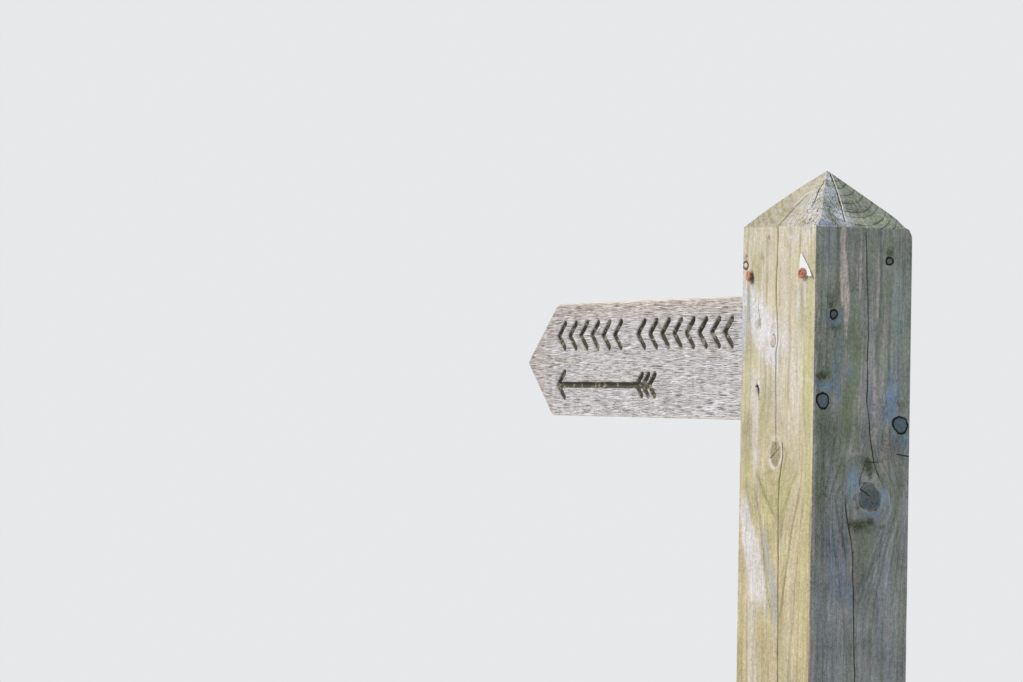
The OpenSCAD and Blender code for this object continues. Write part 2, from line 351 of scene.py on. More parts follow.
# Each dead knot: its face, across, height, and half its width and height.
DEAD_KNOTS = [
    (RIGHT, 26.6, 1673.6, 3.8, 3.6), (RIGHT, -30.3, 1628.0, 3.7, 4.2), (RIGHT, -40.0, 1557.7, 6.7, 6.3),
    (RIGHT, 40.5, 1538.9, 7.7, 7.3), (FRONT, -46.6, 1670.4, 3.6, 3.4), (BACK, 22, 1652, 4.6, 4.9),
    (BACK, -31, 1540, 6.2, 5.6), (LEFT, -33, 1602, 4.2, 4.6), (LEFT, 31, 1500, 5.8, 6.0),
    (RIGHT, 21, 1046, 7, 6.4), (FRONT, -24, 1071, 5.4, 5.8), (BACK, 8, 618, 8, 7.2),
    (LEFT, -18, 655, 6.2, 5.4), (FRONT, 27, 222, 7.4, 6.8), (RIGHT, -24, 204, 6.6, 7.6)]
# Each live knot: the same, and how far it bends the rings, across and up.
LIVE_KNOTS = [
    (FRONT, -0.6, 1514.2, 7.5, 10.2, 20, 70), (FRONT, -6.5, 1606.4, 3.4, 4.8, 9, 22),
    (RIGHT, 9.3, 1479.6, 10.8, 12.0, 22, 62), (BACK, -10, 1476, 9.5, 11, 20, 66),
    (LEFT, 2, 1448, 8.5, 10, 18, 60), (BACK, 16, 1058, 10, 12, 20, 80), (LEFT, 18, 1032, 8, 9.5, 18, 60),
    (FRONT, -14, 634, 10.5, 12, 22, 85), (RIGHT, 12, 610, 9, 11, 20, 75), (LEFT, -8, 214, 9, 11, 20, 70),
    (BACK, -18, 190, 8, 9, 18, 70)]


def of_face(face, table):
    """The rows of a table that belong to one face, without the face's number."""
    return [row[1:] for row in table if row[0] == face]


print(len(CHECKS), "checks,", len(DEAD_KNOTS), "dead knots and", len(LIVE_KNOTS), "live ones")

# %% [markdown]
# ## Growth rings and fibres as numbers
# The post was cut with the heart of the tree at its middle, so its growth rings are upright tubes
# about its axis. Where they meet the sloped top they show as arcs, and on the faces as lines. Two
# numbers are worked out for any point of a face: which ring it lies in, and where its fibre runs.
# Rings swell outward round a branch, which draws the pointed arches below a knot. Fibres part
# round a knot as water does round a stone.

# %% Growth rings and fibres as numbers
RING_RADII = [0, 5, 10, 16, 23, 30, 37.6, 41.5, 48.8, 53.1, 58.1, 62.5, 66.5, 70, 75, 82]


def ring_number(face, s, out, z):
    """The number of the growth ring at s across a face, out from the axis, at height z."""
    stray = 2.2 * ease(-z, -1640, -1200)
    radius = np.hypot(s - stray * wander(z / 310, 0, 11), out - stray * wander(z / 310, 5, 12))
    for ks, kz, _, _, wide, tall in of_face(face, LIVE_KNOTS):
        dz = z - kz
        fade = np.clip(1 - np.abs(dz) / np.where(dz < 0, tall * 2.0, tall * 0.8), 0, 1) ** 2
        swell = np.exp(-((s - ks - 0.03 * dz) / (wide * 1.9)) ** 2) * fade
        radius = radius - (0.075 * wide ** 1.75 + 1.2 * wander(s / 9, z / 30, 21)) * swell
    for ks, kz, half_w, half_h in of_face(face, DEAD_KNOTS):
        swell = np.exp(-((s - ks) / (2.2 * half_w)) ** 2 - (np.abs(z - kz) / (4 * half_h)) ** 1.4)
        radius = radius - half_w * 0.35 * swell
    radius = radius + 0.5 * wander(s / 14, z / 90, 22)
    return np.interp(radius, RING_RADII, np.arange(len(RING_RADII)))


def fibre_place(face, s, z):
    """Where the fibre at this point would run if no knot pushed it aside, in millimetres."""
    place = s + 1.5 * wander(s / 30, z / 260, 23)
    for ks, kz, half_w, *_ in of_face(face, DEAD_KNOTS + LIVE_KNOTS):
        ds, dz = s - ks, (z - kz) / 2.4
        room = (half_w * 1.15) ** 2
        place = place - ds * room / np.maximum(ds ** 2 + dz ** 2, room)
    return place + 200 * face


def knot_edge(knots, face, s, z):
    """Distance in millimetres from the rim of the nearest knot: negative inside it."""
    nearest = np.full(np.shape(s + z), 9.0)
    for ks, kz, half_w, half_h, *_ in of_face(face, knots):
        ds, dz = (s - ks) / half_w, (z - kz) / half_h
        turn = np.arctan2(dz, ds)
        rim = (1 + 0.07 * np.sin(2 * turn + ks) + 0.05 * np.sin(3 * turn + kz)
               + 0.03 * np.sin(7 * turn + ks + kz))
        nearest = np.minimum(nearest, (np.hypot(ds, dz) / rim - 1) * (half_w + half_h) / 2)
    return nearest


print("ring at the middle and the edge of a face:",
      ring_number(FRONT, np.array([0.0, 49.0]), 50.0, np.array([1300.0, 1300.0])).round(1))

# %% [markdown]
# ## The post's net of points
# The surface is one net: rows go up the post, and columns go round it. It could be a box with a
# displacement modifier, but a crack one millimetre wide would need millions of faces. Here the
# columns themselves follow the checks down the face, so five of them are enough to cut a sharp
# groove. The rows are close together where the photograph looks, and wider below.

# %% The post's net: rows and columns
# Above 1700 a row's level counts on up the slope, where the whole net draws in to the tip.
levels = np.concatenate([np.arange(0, 1236, 17.9), np.arange(1240, 1455, 4.0),
                         np.arange(1455, 1699, 1.2), np.arange(1700, 1749.6, 1.0)])
for level_z in MORTISE[2:]:
    levels[np.argmin(np.abs(levels - level_z))] = level_z
shrink = np.minimum(1.0, (TIP_Z - levels) / HALF)
ON_SLOPE = (levels > EAVE_Z - 0.01)[:, None]

COLUMN_GAP = {FRONT: 1.6, RIGHT: 1.6, BACK: 2.6, LEFT: 2.6}
FLAT, BESIDE_CHECK = HALF - CORNER_R, 1.7


def check_line(spans, course, seed):
    """A check's place across the face at every level, and how far open it is, 0 to 1."""
    heights, places = np.array(sorted(course)).T
    line = np.interp(levels, heights, places) + 0.35 * wander(levels / 7, 0, seed)
    line = np.clip(line, -0.8 * FLAT * shrink, 0.8 * FLAT * shrink)
    openness = np.zeros_like(levels)
    for foot, full, fall, top, most in spans:
        openness = np.maximum(openness, most * ease(levels, foot, full) * ease(-levels, -top, -fall))
    return line, openness


def face_columns(face):
    """Places across one face at every level, and each column's share of a check's groove."""
    fences = [check_line(spans, course, 40 + i)
              for i, (where, spans, course) in enumerate(CHECKS) if where == face]
    fences.sort(key=lambda fence: fence[0].mean())
    if face == LEFT:
        fences[:0] = [(MORTISE[0] * shrink, None), (MORTISE[1] * shrink, None)]
    fences.append((FLAT * shrink, None))
    room, closed = np.minimum(1, 3 * shrink), 0 * levels
    places, shares = [-FLAT * shrink], [closed]
    for line, openness in fences:
        start = places[-1]
        end = line if openness is None else np.maximum(line - BESIDE_CHECK * room, start + 0.5 * room)
        count = max(2, round(float((end - start).mean()) / COLUMN_GAP[face]))
        for t in np.arange(1, count + 1) / count:
            places.append(start + (end - start) * t)
            shares.append(closed)
        if openness is not None:
            middle = end + BESIDE_CHECK * room
            uneven = 1 + 0.25 * wander(levels / 11, 3, 31 + face)
            width = GROOVE_HALF * room * (0.3 + 0.7 * openness) * uneven
            places += [middle - width, middle, middle + width, middle + BESIDE_CHECK * room]
            shares += [0.02 * openness, openness, 0.02 * openness, closed]
    return np.array(places).T, np.array(shares).T


columns = [face_columns(face) for face in range(4)]
print("levels:", len(levels), "columns on each face:", [c[0].shape[1] for c in columns],
      "narrowest gap:", round(min(float(np.diff(c[0], axis=1)[:-4].min()) for c in columns), 3))

# %% [markdown]
# ## From the net to the post
# Each face is worked out flat, as if it lay on the bench: across, out from the axis, and up. Then
# it is turned into its place. The top was cut by eye with a hand saw, so its eaves aren't quite
# level and its hips not quite straight. Weather wore the corners and cut the soft early wood.

# %% The arrises and the sawn top
CORNER_Z = [1702.2, 1699.0, 1700.3, 1700.0]
CORNER_WEAR = [0.3, 0.5, 1.0, 1.2]


def face_surface(face):
    """Across, out and share of a groove at every point of a face, with its two rounded arrises."""
    s, groove = columns[face]
    out = HALF * shrink[:, None] + 0 * s
    for side, corner in ((-1, face), (1, (face + 1) % 4)):
        wear = (0.08 + 0.03 * wander(levels / 23, corner, 51) + 0.05 * wander(levels / 4, corner, 53)
                + 0.6 * ease(wander(levels / 60, corner, 52), 0.65, 0.9)
                + CORNER_WEAR[corner] * np.exp(-((levels - 1701) / 2.6) ** 2))
        for bend in np.radians([15, 30, 45]):
            inward = wear * np.sin(bend) ** 2
            new_s = side * (FLAT + CORNER_R * math.sin(bend) - inward) * shrink
            new_out = (FLAT + CORNER_R * math.cos(bend) - inward) * shrink
            s = np.column_stack([new_s, s] if side < 0 else [s, new_s])
            out = np.column_stack([new_out, out] if side < 0 else [out, new_out])
    return s, out, np.pad(groove, ((0, 0), (3, 3)))


def height_of(face, s, out):
    """Every row's height: level below, drawn to the sawn slope over the last 40 mm."""
    left, right = CORNER_Z[face], CORNER_Z[(face + 1) % 4]
    slope = TIP_Z - out * (2 * TIP_Z - left - right) / 100 - s * (left - right) / 100
    level = levels[:, None] + 0 * s
    return np.where(ON_SLOPE, slope, level + (slope - EAVE_Z) * ease(level, 1655, 1700))


def turned(face, s, out):
    """Turns a face's across and out into X and Y."""
    return [(s, -out), (out, s), (-s, out), (-out, -s)][face]


def from_axis(x, y):
    return np.maximum(np.maximum(np.abs(x), np.abs(y)), 0.01)


def hip_bulge(x, y):
    """How far the hip above the nailed face stands out in X, and where the small facet lies below it."""
    f, reach = shrink[:, None], from_axis(x, y)
    on_right, on_front = (-y / reach - 0.4) / 0.6, (x / reach - 0.75) / 0.25
    near = np.where(x >= -y, np.clip(on_right, 0, 1), np.clip(on_front, 0, 1))
    free, limit = 5.4 * f ** 1.35 * near, 38 * (1 - f)
    return np.minimum(free, limit), ease(free - limit, -0.3, 0.3) * (x > -y) * (f < 0.999)


def worn_top(x, y):
    """The sawn top as weather and a careless saw left it: no hip is quite straight."""
    f, reach = shrink[:, None], from_axis(x, y)
    back_hip = 1.7 * 4 * f * (1 - f) * np.clip(np.minimum(-x, -y) / reach, 0, 1)
    far_corner = np.clip((np.minimum(x, y) / reach - 0.86) / 0.14, 0, 1) ** 2
    drop = 2.4 * np.exp(-((levels - 1702) / 5) ** 2)[:, None] * far_corner
    return x + hip_bulge(x, y)[0] - back_hip - drop - 0.4 * (1 - f), y - back_hip - drop - 0.6 * (1 - f)


print("eave corners:", CORNER_Z)

# %% [markdown]
# The faces have a fine relief: soft rings are worn deeper than hard ones, knots shrink and part
# from the wood round them, and thin splits open inside a live knot. Nails punched below the
# surface leave small pits.

# %% The relief of one face
NAIL_PITS = [(FRONT, -26.2, 1621.6, 1.9), (FRONT, -27.0, 1565.4, 2.1)]
# Each short split: its face, its two ends as across and height, and half its width.
SPLITS = [
    (FRONT, -7.8, 1509.6, -1.8, 1513.8, 0.4), (FRONT, -1.8, 1513.8, 4.8, 1518.6, 0.3),
    (FRONT, -28.1, 1643, -27.1, 1633, 0.22), (FRONT, -27.1, 1633, -25.4, 1624, 0.38),
    # The front split from (-36.4, 1664) to (-36.6, 1656.5) is the left nail's painted shadow line, with a
    # shallow crease.
    (FRONT, -25.4, 1624, -24.4, 1617.6, 0.6), (FRONT, -36.4, 1664, -36.6, 1656.5, 0.6),
    (FRONT, -28.2, 1574, -27.9, 1569, 0.3), (FRONT, -27.8, 1569, -26.2, 1563.6, 1.5),
    (FRONT, -30.4, 1568.7, -27.8, 1567.6, 0.4), (FRONT, -25.6, 1563, -24.7, 1557.6, 0.5),
    (FRONT, -0.6, 1527, -0.4, 1517, 0.4), (RIGHT, 4.1, 1506.5, -0.3, 1496.5, 0.35),
    (RIGHT, -0.3, 1496.5, -1.3, 1488.3, 0.35), (RIGHT, -0.3, 1486.4, 9.2, 1480.8, 0.6),
    (RIGHT, 9.2, 1480.8, 13.0, 1473.4, 0.22), (RIGHT, 37.0, 1514.8, 49.5, 1513.0, 0.55),
    (RIGHT, 3.6, 1508.4, 18.0, 1507.9, 0.3), (BACK, -15, 1471, -4, 1482, 0.5),
    (LEFT, -3, 1444, 7, 1453, 0.5)]


def nail_hollow(face, s, z):
    """1 inside the holes of punched nails, and 0 outside."""
    hollow = np.zeros_like(s)
    for ks, kz, r in of_face(face, NAIL_PITS):
        hollow = hollow + 1 - ease(np.hypot(s - ks, (z - kz) * 0.5), 0.5 * r, 1.2 * r)
    return hollow


def face_relief(face, s, out, z):
    """How deep weather and tools have cut below the sawn surface, in millimetres."""
    ring = ring_number(face, s, out, z)
    deep = 0.16 * (0.5 + 0.5 * np.cos(2 * math.pi * ring)) + 0.08 * (1 + wander(s / 2.5, z / 40, 61))
    deep = deep + 0.10 * (1 + wander(s / 16, z / 110, 62)) + 1.6 * nail_hollow(face, s, z)
    dead, live = knot_edge(DEAD_KNOTS, face, s, z), knot_edge(LIVE_KNOTS, face, s, z)
    deep = deep + ~ON_SLOPE * (1.1 * np.exp(-(dead / 0.8) ** 2) + 0.35 * (1 - ease(dead, -3, -0.5)))
    deep = deep + ~ON_SLOPE * (0.5 * np.exp(-(live / 1.2) ** 2) + 0.25 * (1 - ease(live, -6, 0)))
    return deep * ease(FLAT * shrink[:, None] - np.abs(s), 0, 1.5)


def split_crease(face, s, z):
    """A shallow crease where a short split runs. Its dark line is drawn by the finish."""
    deep = np.zeros_like(s)
    for s1, z1, s2, z2, half in of_face(face, SPLITS):
        away = from_line(s, z, (s1, z1), (s2, z2))
        deep = np.maximum(deep, half * (1 - ease(away, 0.3, 2.0)))
    return deep


print(len(SPLITS), "short splits")

# %% [markdown]
# ## Stains
# A stain is a soft patch with a place, a size and a strength. Lists of patches keep the weathering
# easy to read and to move: water bleached the wood beside the nails, algae took hold above each
# knot where rain lingers, and blue stain fungus followed the sapwood.

# %% Patches of bleaching and algae
# Each patch: across, height, half its width and height, and its strength.
BLEACHED = {
    FRONT: [(-33, 1626, 7, 16, 1.2), (-22, 1614, 9, 16, 1.3), (-33, 1690, 9, 16, 0.25),
     (15, 1694, 4, 4, 0.7), (27, 1695, 4, 3.5, 0.6), (38, 1694, 5, 4, 0.7), (47, 1695, 3, 4, 0.6),
     (-12, 1611, 10, 13, 1.2), (-3, 1604, 7, 11, 1.1), (-10, 1596, 10, 10, 1.2), (-3, 1589, 5, 9, 1.0),
     (-27, 1631, 8, 14, 1.1), (-16, 1624, 8, 10, 1.0), (-48, 1620, 3, 30, 0.8), (5, 1606, 6, 12, 0.9),
     (-2, 1618, 6, 8, 0.7), (12, 1612, 4, 14, 0.6), (17, 1612, 3, 12, 0.3), (3, 1560, 3.0, 30, 0.3),
     (22, 1575, 3, 26, 0.6), (29, 1560, 3, 26, 0.5), (17.5, 1534, 1.4, 12, 0.8), (18, 1690, 3, 14, 0.4),
     (-27, 1572, 6, 8, 0.6), (20, 1350, 4, 60, 0.2)],
    RIGHT: [(22, 1610, 2.0, 30, 0.3), (-17, 1585, 2.0, 14, 0.35), (-2, 1560, 3, 20, 0.3),
     (11, 1532, 4, 12, 0.35), (24, 1515, 5, 18, 0.35), (-9, 1514, 5, 6, 0.4), (-9, 1420, 2.4, 30, 0.3),
     (-46, 1650, 1.2, 60, 0.4), (22.5, 1474, 1.6, 5, 0.3)],
    BACK: [(-30, 1500, 6, 90, 0.7), (25, 1300, 8, 160, 0.5)],
    LEFT: [(-38, 1500, 7, 90, 0.8), (36, 1400, 7, 140, 0.6), (0, 1300, 8, 120, 0.5)]}
GREEN = {
    FRONT: [(-34, 1682, 2.4, 24, 0.9), (-29, 1676, 2.2, 26, 0.8), (-23, 1674, 2, 24, 0.8),
     (-42, 1690, 4, 14, 0.5), (-36, 1580, 8, 24, 0.8), (-16, 1545, 9, 26, 0.8), (-9, 1575, 6, 12, 0.5),
     (43, 1560, 6, 110, 1.0), (43, 1490, 5, 60, 1.1), (40, 1400, 4, 90, 0.6), (-38, 1500, 7, 26, 0.9),
     (6, 1485, 9, 22, 0.9), (-12, 1478, 8, 22, 0.9), (2, 1455, 8, 18, 0.5), (44, 1640, 5, 44, 0.85),
     (32, 1632, 2, 20, 0.6), (8, 1687, 1.6, 6, 1.0), (3, 1476, 9, 14, 1.0), (24, 1660, 3, 30, 0.6),
     (-44, 1560, 4, 60, 0.7), (-44, 1350, 5, 60, 0.2), (10, 1330, 5, 50, 0.4), (26, 1590, 3, 50, 0.5),
     (22, 1350, 2, 50, 0.5), (34, 1380, 2, 40, 0.5), (-14, 1345, 2, 40, 0.5)],
    RIGHT: [(28, 1630, 9, 30, 0.3), (-8, 1600, 9, 26, 0.9), (-24, 1600, 10, 40, 0.7),
     (-27, 1650, 8, 20, 0.7), (-12, 1545, 13, 34, 1.0), (24, 1500, 8, 24, 0.6), (2, 1440, 11, 26, 0.9),
     (-42, 1500, 7, 60, 0.9), (-26, 1526, 9, 22, 1.0), (0, 1330, 30, 40, 0.35), (-46, 1660, 5, 30, 0.5),
     (2, 1665, 6, 34, 0.7), (8, 1670, 6, 24, 0.6), (-16, 1500, 8, 22, 0.8), (-34, 1680, 8, 16, 0.4),
     (36, 1470, 8, 40, 0.6), (-47, 1400, 2.4, 40, 0.9), (44, 1360, 5, 50, 0.5)],
    BACK: [(0, 1500, 40, 260, 0.7), (-20, 1100, 30, 300, 0.7)],
    LEFT: [(30, 1680, 20, 40, 0.6)]}
print("bleached faces:", len(BLEACHED), "and faces with algae:", len(GREEN))

# %% [markdown]
# Smudges are mould and dirt. They settle where rain water lingers: beside the dead knots and along
# the dark lines of the grain. The few right of and below the left nail's head are its painted shadow.

# %% Patches of blue stain and smudges
BLUE = {
    RIGHT: [(-36.2, 1624, 3, 6, 1.3), (-31, 1621, 6, 3.2, 1.2), (-25, 1628, 2.4, 6, 1.0),
     (-26, 1600, 1.6, 18, 0.4), (-27.9, 1581, 1.6, 14, 1.0), (-33, 1572, 4, 6, 0.9),
     (-25.4, 1566, 3, 8, 0.8), (-45, 1570, 3, 7, 0.8), (-38, 1570, 5, 3, 0.8), (-22, 1590, 3, 22, 0.35),
     (-14, 1580, 4, 8, 0.5), (32, 1551, 6, 9, 1.3), (29, 1560, 6, 14, 1.1), (25, 1549, 4, 9, 0.9),
     (36, 1564, 5, 12, 0.7), (44, 1526, 5, 9, 0.7), (33, 1530, 3, 6, 0.8), (35, 1566, 4, 14, 0.7),
     (30, 1575, 4, 20, 0.6), (38, 1590, 5, 20, 0.3), (9, 1557, 2, 20, 0.5), (36, 1632, 8, 34, 0.3),
     (-8, 1496, 6, 10, 0.8), (-12, 1487, 5, 9, 0.65), (-3, 1493, 3.4, 10, 0.8), (24, 1480, 2.5, 9, 1.0),
     (21, 1476, 2.4, 4, 1.2), (4, 1471, 4, 2, 0.8), (8, 1464.6, 8, 1.8, 0.9), (18, 1465, 4, 2.4, 1.2),
     (29, 1471, 2, 8, 0.8), (-28, 1430, 5, 34, 0.4), (-18, 1412, 4, 22, 0.6), (-10, 1400, 4, 12, 0.6),
     (-34, 1445, 4, 20, 0.3), (-9, 1383, 1.4, 1.6, 1.4), (-36, 1680, 9, 20, 0.2), (3, 1680, 4, 20, 0.15),
     (-30, 1360, 12, 50, 0.12), (24, 1370, 12, 50, 0.08)],
    FRONT: [(-23, 1500, 2, 24, 0.5)],
    BACK: [(20, 1560, 10, 60, 0.7), (-15, 1400, 8, 80, 0.6)],
    LEFT: [(-20, 1440, 8, 60, 0.4)]}
SMUDGE_AND_SHADOW = {
    RIGHT: [(26.3, 1680.2, 3.4, 3.8, 1.2), (31, 1677, 2, 2, 0.6), (-33, 1635.8, 3.2, 3.8, 1.6),
     (-33, 1642, 4, 4, 0.8), (-29, 1617.4, 7, 2.2, 1.0), (-41.6, 1577.4, 5.4, 3.6, 1.6),
     (-37, 1579, 4, 3, 0.9), (-45, 1572, 3, 3, 0.6), (40, 1556.6, 3.6, 1.8, 1.0), (42, 1549, 3, 2.0, 0.5),
     (8.2, 1502, 3.8, 5.5, 1.7), (8.8, 1496.6, 1.8, 3, 1.3), (8.6, 1508, 5, 2.6, 1.4),
     (-1.2, 1471.5, 3.4, 2.4, 1.3), (16, 1509, 4, 1.6, 0.6), (4, 1505, 2, 4, 0.9),
     (-3, 1456.6, 9, 4.2, 1.7), (-11, 1457.5, 3, 3.4, 1.3), (9.5, 1458.6, 5, 3.2, 1.4),
     (22.4, 1454.6, 2.2, 2.0, 1.3), (3, 1395, 9, 26, 0.3), (-13, 1461, 2, 5, 0.8), (5, 1453, 7, 2, 0.6),
     (20, 1470, 2, 8, 0.4), (-11.6, 1446, 1.6, 2.0, 1.2), (-16, 1480, 2, 6, 0.6), (-1, 1493, 2, 4, 0.7),
     (22.3, 1529, 1.4, 6, 0.9), (29.9, 1532, 1.4, 5, 0.8), (13, 1552, 1.4, 5, 0.5),
     (-3, 1520, 1.6, 6, 0.5), (24, 1556, 1.0, 2.4, 0.9), (26.5, 1548, 1.0, 1.6, 0.8),
     (28, 1640, 1.2, 12, 0.4)],
    # The smudges right of and below the left nail's head, near (-37, 1658), are its painted shadow.
    FRONT: [(-46, 1677, 2.4, 2.4, 1.3), (-37.4, 1660.4, 1.7, 4.4, 2.4), (-35.6, 1661.0, 2.0, 3.2, 2.2),
     (-36.0, 1655.8, 2.4, 2.4, 1.6), (39, 1656.6, 3, 1.0, 0.5), (-42.0, 1648, 1.8, 12, 0.5),
     (-24, 1676, 3, 4, 0.6), (-14, 1692.4, 2, 2, 0.9), (-8, 1618, 1.6, 4, 0.5), (-36, 1656, 4, 4, 0.5),
     (-26, 1664, 2, 8, 0.4), (-9, 1498, 6, 1.6, 0.6), (-30, 1620, 2, 4, 0.5)],
    BACK: [(22, 1664, 5, 6, 1.0), (-31, 1554, 7, 6, 1.0)],
    LEFT: [(-33, 1614, 5, 5, 0.8)]}
print("blue patches on the right face:", len(BLUE[RIGHT]), "and smudges:", len(SMUDGE_AND_SHADOW[RIGHT]))

# %% [markdown]
# Whole areas are also a little lighter or darker than round about. One function turns any of these
# tables into a strength at every point of a face.

# %% Lighter and darker areas
LIGHTER = {
    FRONT: [(6.8, 1521, 2.5, 7, 0.3), (-32, 1688, 10, 18, 0.06), (38, 1684, 7, 10, 0.1),
     (32, 1388, 12, 14, 0.05), (10, 1464, 6, 9, 0.08)],
    RIGHT: [(35, 1630, 11, 30, 0.3), (-32, 1684, 6, 10, 0.17), (4, 1684, 6, 10, 0.16),
     (-8, 1562, 7, 12, 0.16), (16, 1575, 6, 20, 0.12), (29, 1440, 13, 12, 0.17), (4, 1378, 11, 24, 0.13),
     (-19, 1514, 5, 9, 0.18), (-38, 1663, 10, 30, 0.09), (-7, 1595, 8, 22, 0.12),
     (30, 1666, 10, 30, 0.09), (25.5, 1592, 9, 20, 0.16), (34, 1557, 6, 8, 0.2), (29, 1562, 7, 11, 0.2),
     (29, 1412, 10, 24, 0.13), (27, 1709, 9, 8, 0.14), (-9, 1494, 6, 11, 0.15), (-21, 1675, 5, 30, 0.05)]}
DARKER = {
    FRONT: [(-43, 1604, 8, 22, 0.2), (-41, 1537, 9, 12, 0.2), (-42, 1487, 8, 10, 0.1),
     (-8, 1524, 6, 22, 0.11), (6, 1637, 6, 11, 0.09), (-12, 1552, 13, 22, 0.13),
     (-34, 1464, 14, 12, 0.15), (0, 1389, 17, 11, 0.19), (-12, 1686, 10, 12, 0.14), (7, 1487, 6, 9, 0.1),
     (-26, 1348, 9, 22, 0.08), (-38, 1511, 7, 20, 0.14), (-3, 1474, 10, 11, 0.05), (33, 1632, 9, 24, 0.1),
     (-46, 1370, 5, 80, 0.12)],
    RIGHT: [(-6, 1665, 9, 30, 0.17), (-35, 1603, 9, 22, 0.17), (-45, 1595, 6, 38, 0.18),
     (-36, 1525, 12, 25, 0.33), (29, 1519, 18, 17, 0.31), (6, 1526, 8, 20, 0.24),
     (-37, 1452, 10, 44, 0.24), (-20, 1446, 8, 34, 0.22), (-43, 1414, 6, 18, 0.26),
     (4, 1638, 5, 12, 0.22), (-41, 1380, 7, 22, 0.15), (42, 1490, 7, 12, 0.18), (-4, 1412, 9, 22, 0.14),
     (-41, 1408, 9, 24, 0.09), (3, 1457, 9, 4, 0.2), (-1, 1716, 10, 8, 0.32)]}


def patches(table, face, s, z, seed, lift):
    """The strongest of a face's soft patches at each place. Their ragged edges follow the grain."""
    most = np.zeros_like(s)
    s2, z2 = s + 1.4 * wander(z / 9, s / 12, seed), z + lift * wander(s / 1.9, z / 60, seed + 1)
    for ps, pz, wide, tall, strength in table.get(face, []):
        off_centre = ((s2 - ps) / wide) ** 2 + ((z2 - pz) / tall) ** 2
        most = np.maximum(most, strength * np.exp(-off_centre ** 1.4))
    return most


print("patches placed:", sum(len(v) for t in (BLEACHED, GREEN, BLUE, SMUDGE_AND_SHADOW) for v in t.values()))

# %% [markdown]
# Some stains lean with the grain over a long way. A trail has a half width, a strength, and a
# course of (across, height). A strip is a band with clear edges: it has a strength, a softness,
# and a course of (left, right, height). All courses run upward.

# %% Trails and strips
TRAILS = {
    (FRONT, "green"): [(2.4, 0.9, [(-3, 1372), (-3, 1385), (-14, 1404), (-20, 1425), (-26, 1450),
     (-32, 1480), (-33, 1500)]), (3.6, 1.6, [(2.4, 1459.9), (-3.9, 1466.7), (-10.9, 1474.5),
     (-19.8, 1488.3), (-24.5, 1496.3)]), (3.2, 1.5, [(6.4, 1460.1), (11.2, 1467.4), (17.6, 1477.6),
     (23.9, 1489.9), (29.3, 1499.0)])],
    (FRONT, "smudge_and_shadow"): [(1.8, 0.85, [(2.4, 1459.9), (-3.9, 1466.7), (-10.9, 1474.5), (-19.8, 1488.3),
     (-24.5, 1496.3)]), (1.8, 0.55, [(6.4, 1460.1), (11.2, 1467.4), (17.6, 1477.6), (23.9, 1489.9),
     (29.3, 1499.0)]), (0.6, 0.5, [(25.6, 1600), (25.0, 1652)]), (0.7, 0.45, [(31.6, 1606),
     (30.8, 1652)]), (0.6, 0.4, [(33.9, 1622), (33.4, 1652)]), (1.0, 0.5, [(-43.5, 1676), (-43, 1700)]),
     (0.8, 0.55, [(-37.4, 1664), (-36.9, 1700)]), (0.7, 0.4, [(-31.6, 1652), (-31, 1700)]),
     (1.1, 0.8, [(-2, 1380), (-8, 1396), (-12.1, 1412.1), (-16.7, 1439.4), (-19.6, 1457.6),
     (-28, 1482.1)]), (0.9, 0.6, [(-32, 1457), (-35, 1470), (-39.1, 1484.5), (-41, 1500)]),
     (1.1, 0.85, [(7.4, 1377), (9.5, 1383), (13.9, 1405), (18.0, 1427.7), (22, 1444), (26.1, 1459.8),
     (30.2, 1473.5), (34.4, 1487.2)]), (0.9, 0.6, [(21.3, 1300), (21.3, 1329.8), (23, 1352.5),
     (26.9, 1375.4), (28.9, 1411.6), (33.3, 1442.1), (39, 1478.4)]), (0.6, 0.4, [(-36.2, 1250),
     (-36.2, 1351.7), (-37.5, 1397.9)]), (0.8, 0.35, [(-19, 1250), (-20.6, 1325.6), (-25, 1371.1),
     (-26.6, 1403.2)]), (0.6, 0.45, [(-6, 1250), (-6.4, 1345.3), (-8.3, 1372.5), (-9.6, 1404.4)]),
     (1.1, 1.0, [(48.9, 1200), (48.9, 1470)])],
    (RIGHT, "smudge_and_shadow"): [(0.9, 0.6, [(15.5, 1571), (15.3, 1612), (18.1, 1645.7), (15.9, 1668.4)]),
     (0.9, 0.5, [(26.9, 1580.3), (26.5, 1603.2), (28.5, 1618.6), (26.8, 1646)]),
     (0.8, 0.55, [(38.2, 1590), (38.6, 1612.7), (40.2, 1618.9), (40.6, 1660.3), (39.9, 1697)]),
     (0.9, 0.5, [(-26, 1640), (-26.2, 1660), (-26.2, 1697)]), (1.0, 0.5, [(-14, 1650), (-18.6, 1690),
     (-19, 1700)]), (0.9, 0.45, [(6.2, 1403.9), (13.5, 1421.7), (20.7, 1437.5), (28.5, 1453.4),
     (33, 1465.3)]), (1.0, 0.5, [(24, 1430), (29.7, 1447.3), (33.3, 1456), (36.1, 1464.8), (37, 1475)])],
    (RIGHT, "light"): [(2.4, 0.42, [(15.2, 1463.8), (19.6, 1468.4), (19.5, 1471.9), (23.2, 1476.6),
     (24.6, 1481.3), (21.5, 1485.4)]), (1.5, 0.36, [(18.6, 1441.6), (22.2, 1448.5), (26.5, 1456.1),
     (30.1, 1462.5), (32.2, 1469.5), (30.7, 1474.2), (28.9, 1486.6)]), (1.7, 0.3, [(24, 1424),
     (32.7, 1444.3), (36.3, 1453.1), (39.9, 1461.3), (41.2, 1470.7)])],
    (RIGHT, "blue"): [(2.2, 0.8, [(15.2, 1463.8), (19.6, 1468.4), (19.5, 1471.9), (23.2, 1476.6),
     (24.6, 1481.3), (21.5, 1485.4)])],
    (RIGHT, "bleach"): [(1.3, 0.45, [(-48.2, 1200), (-48.6, 1660)])]}
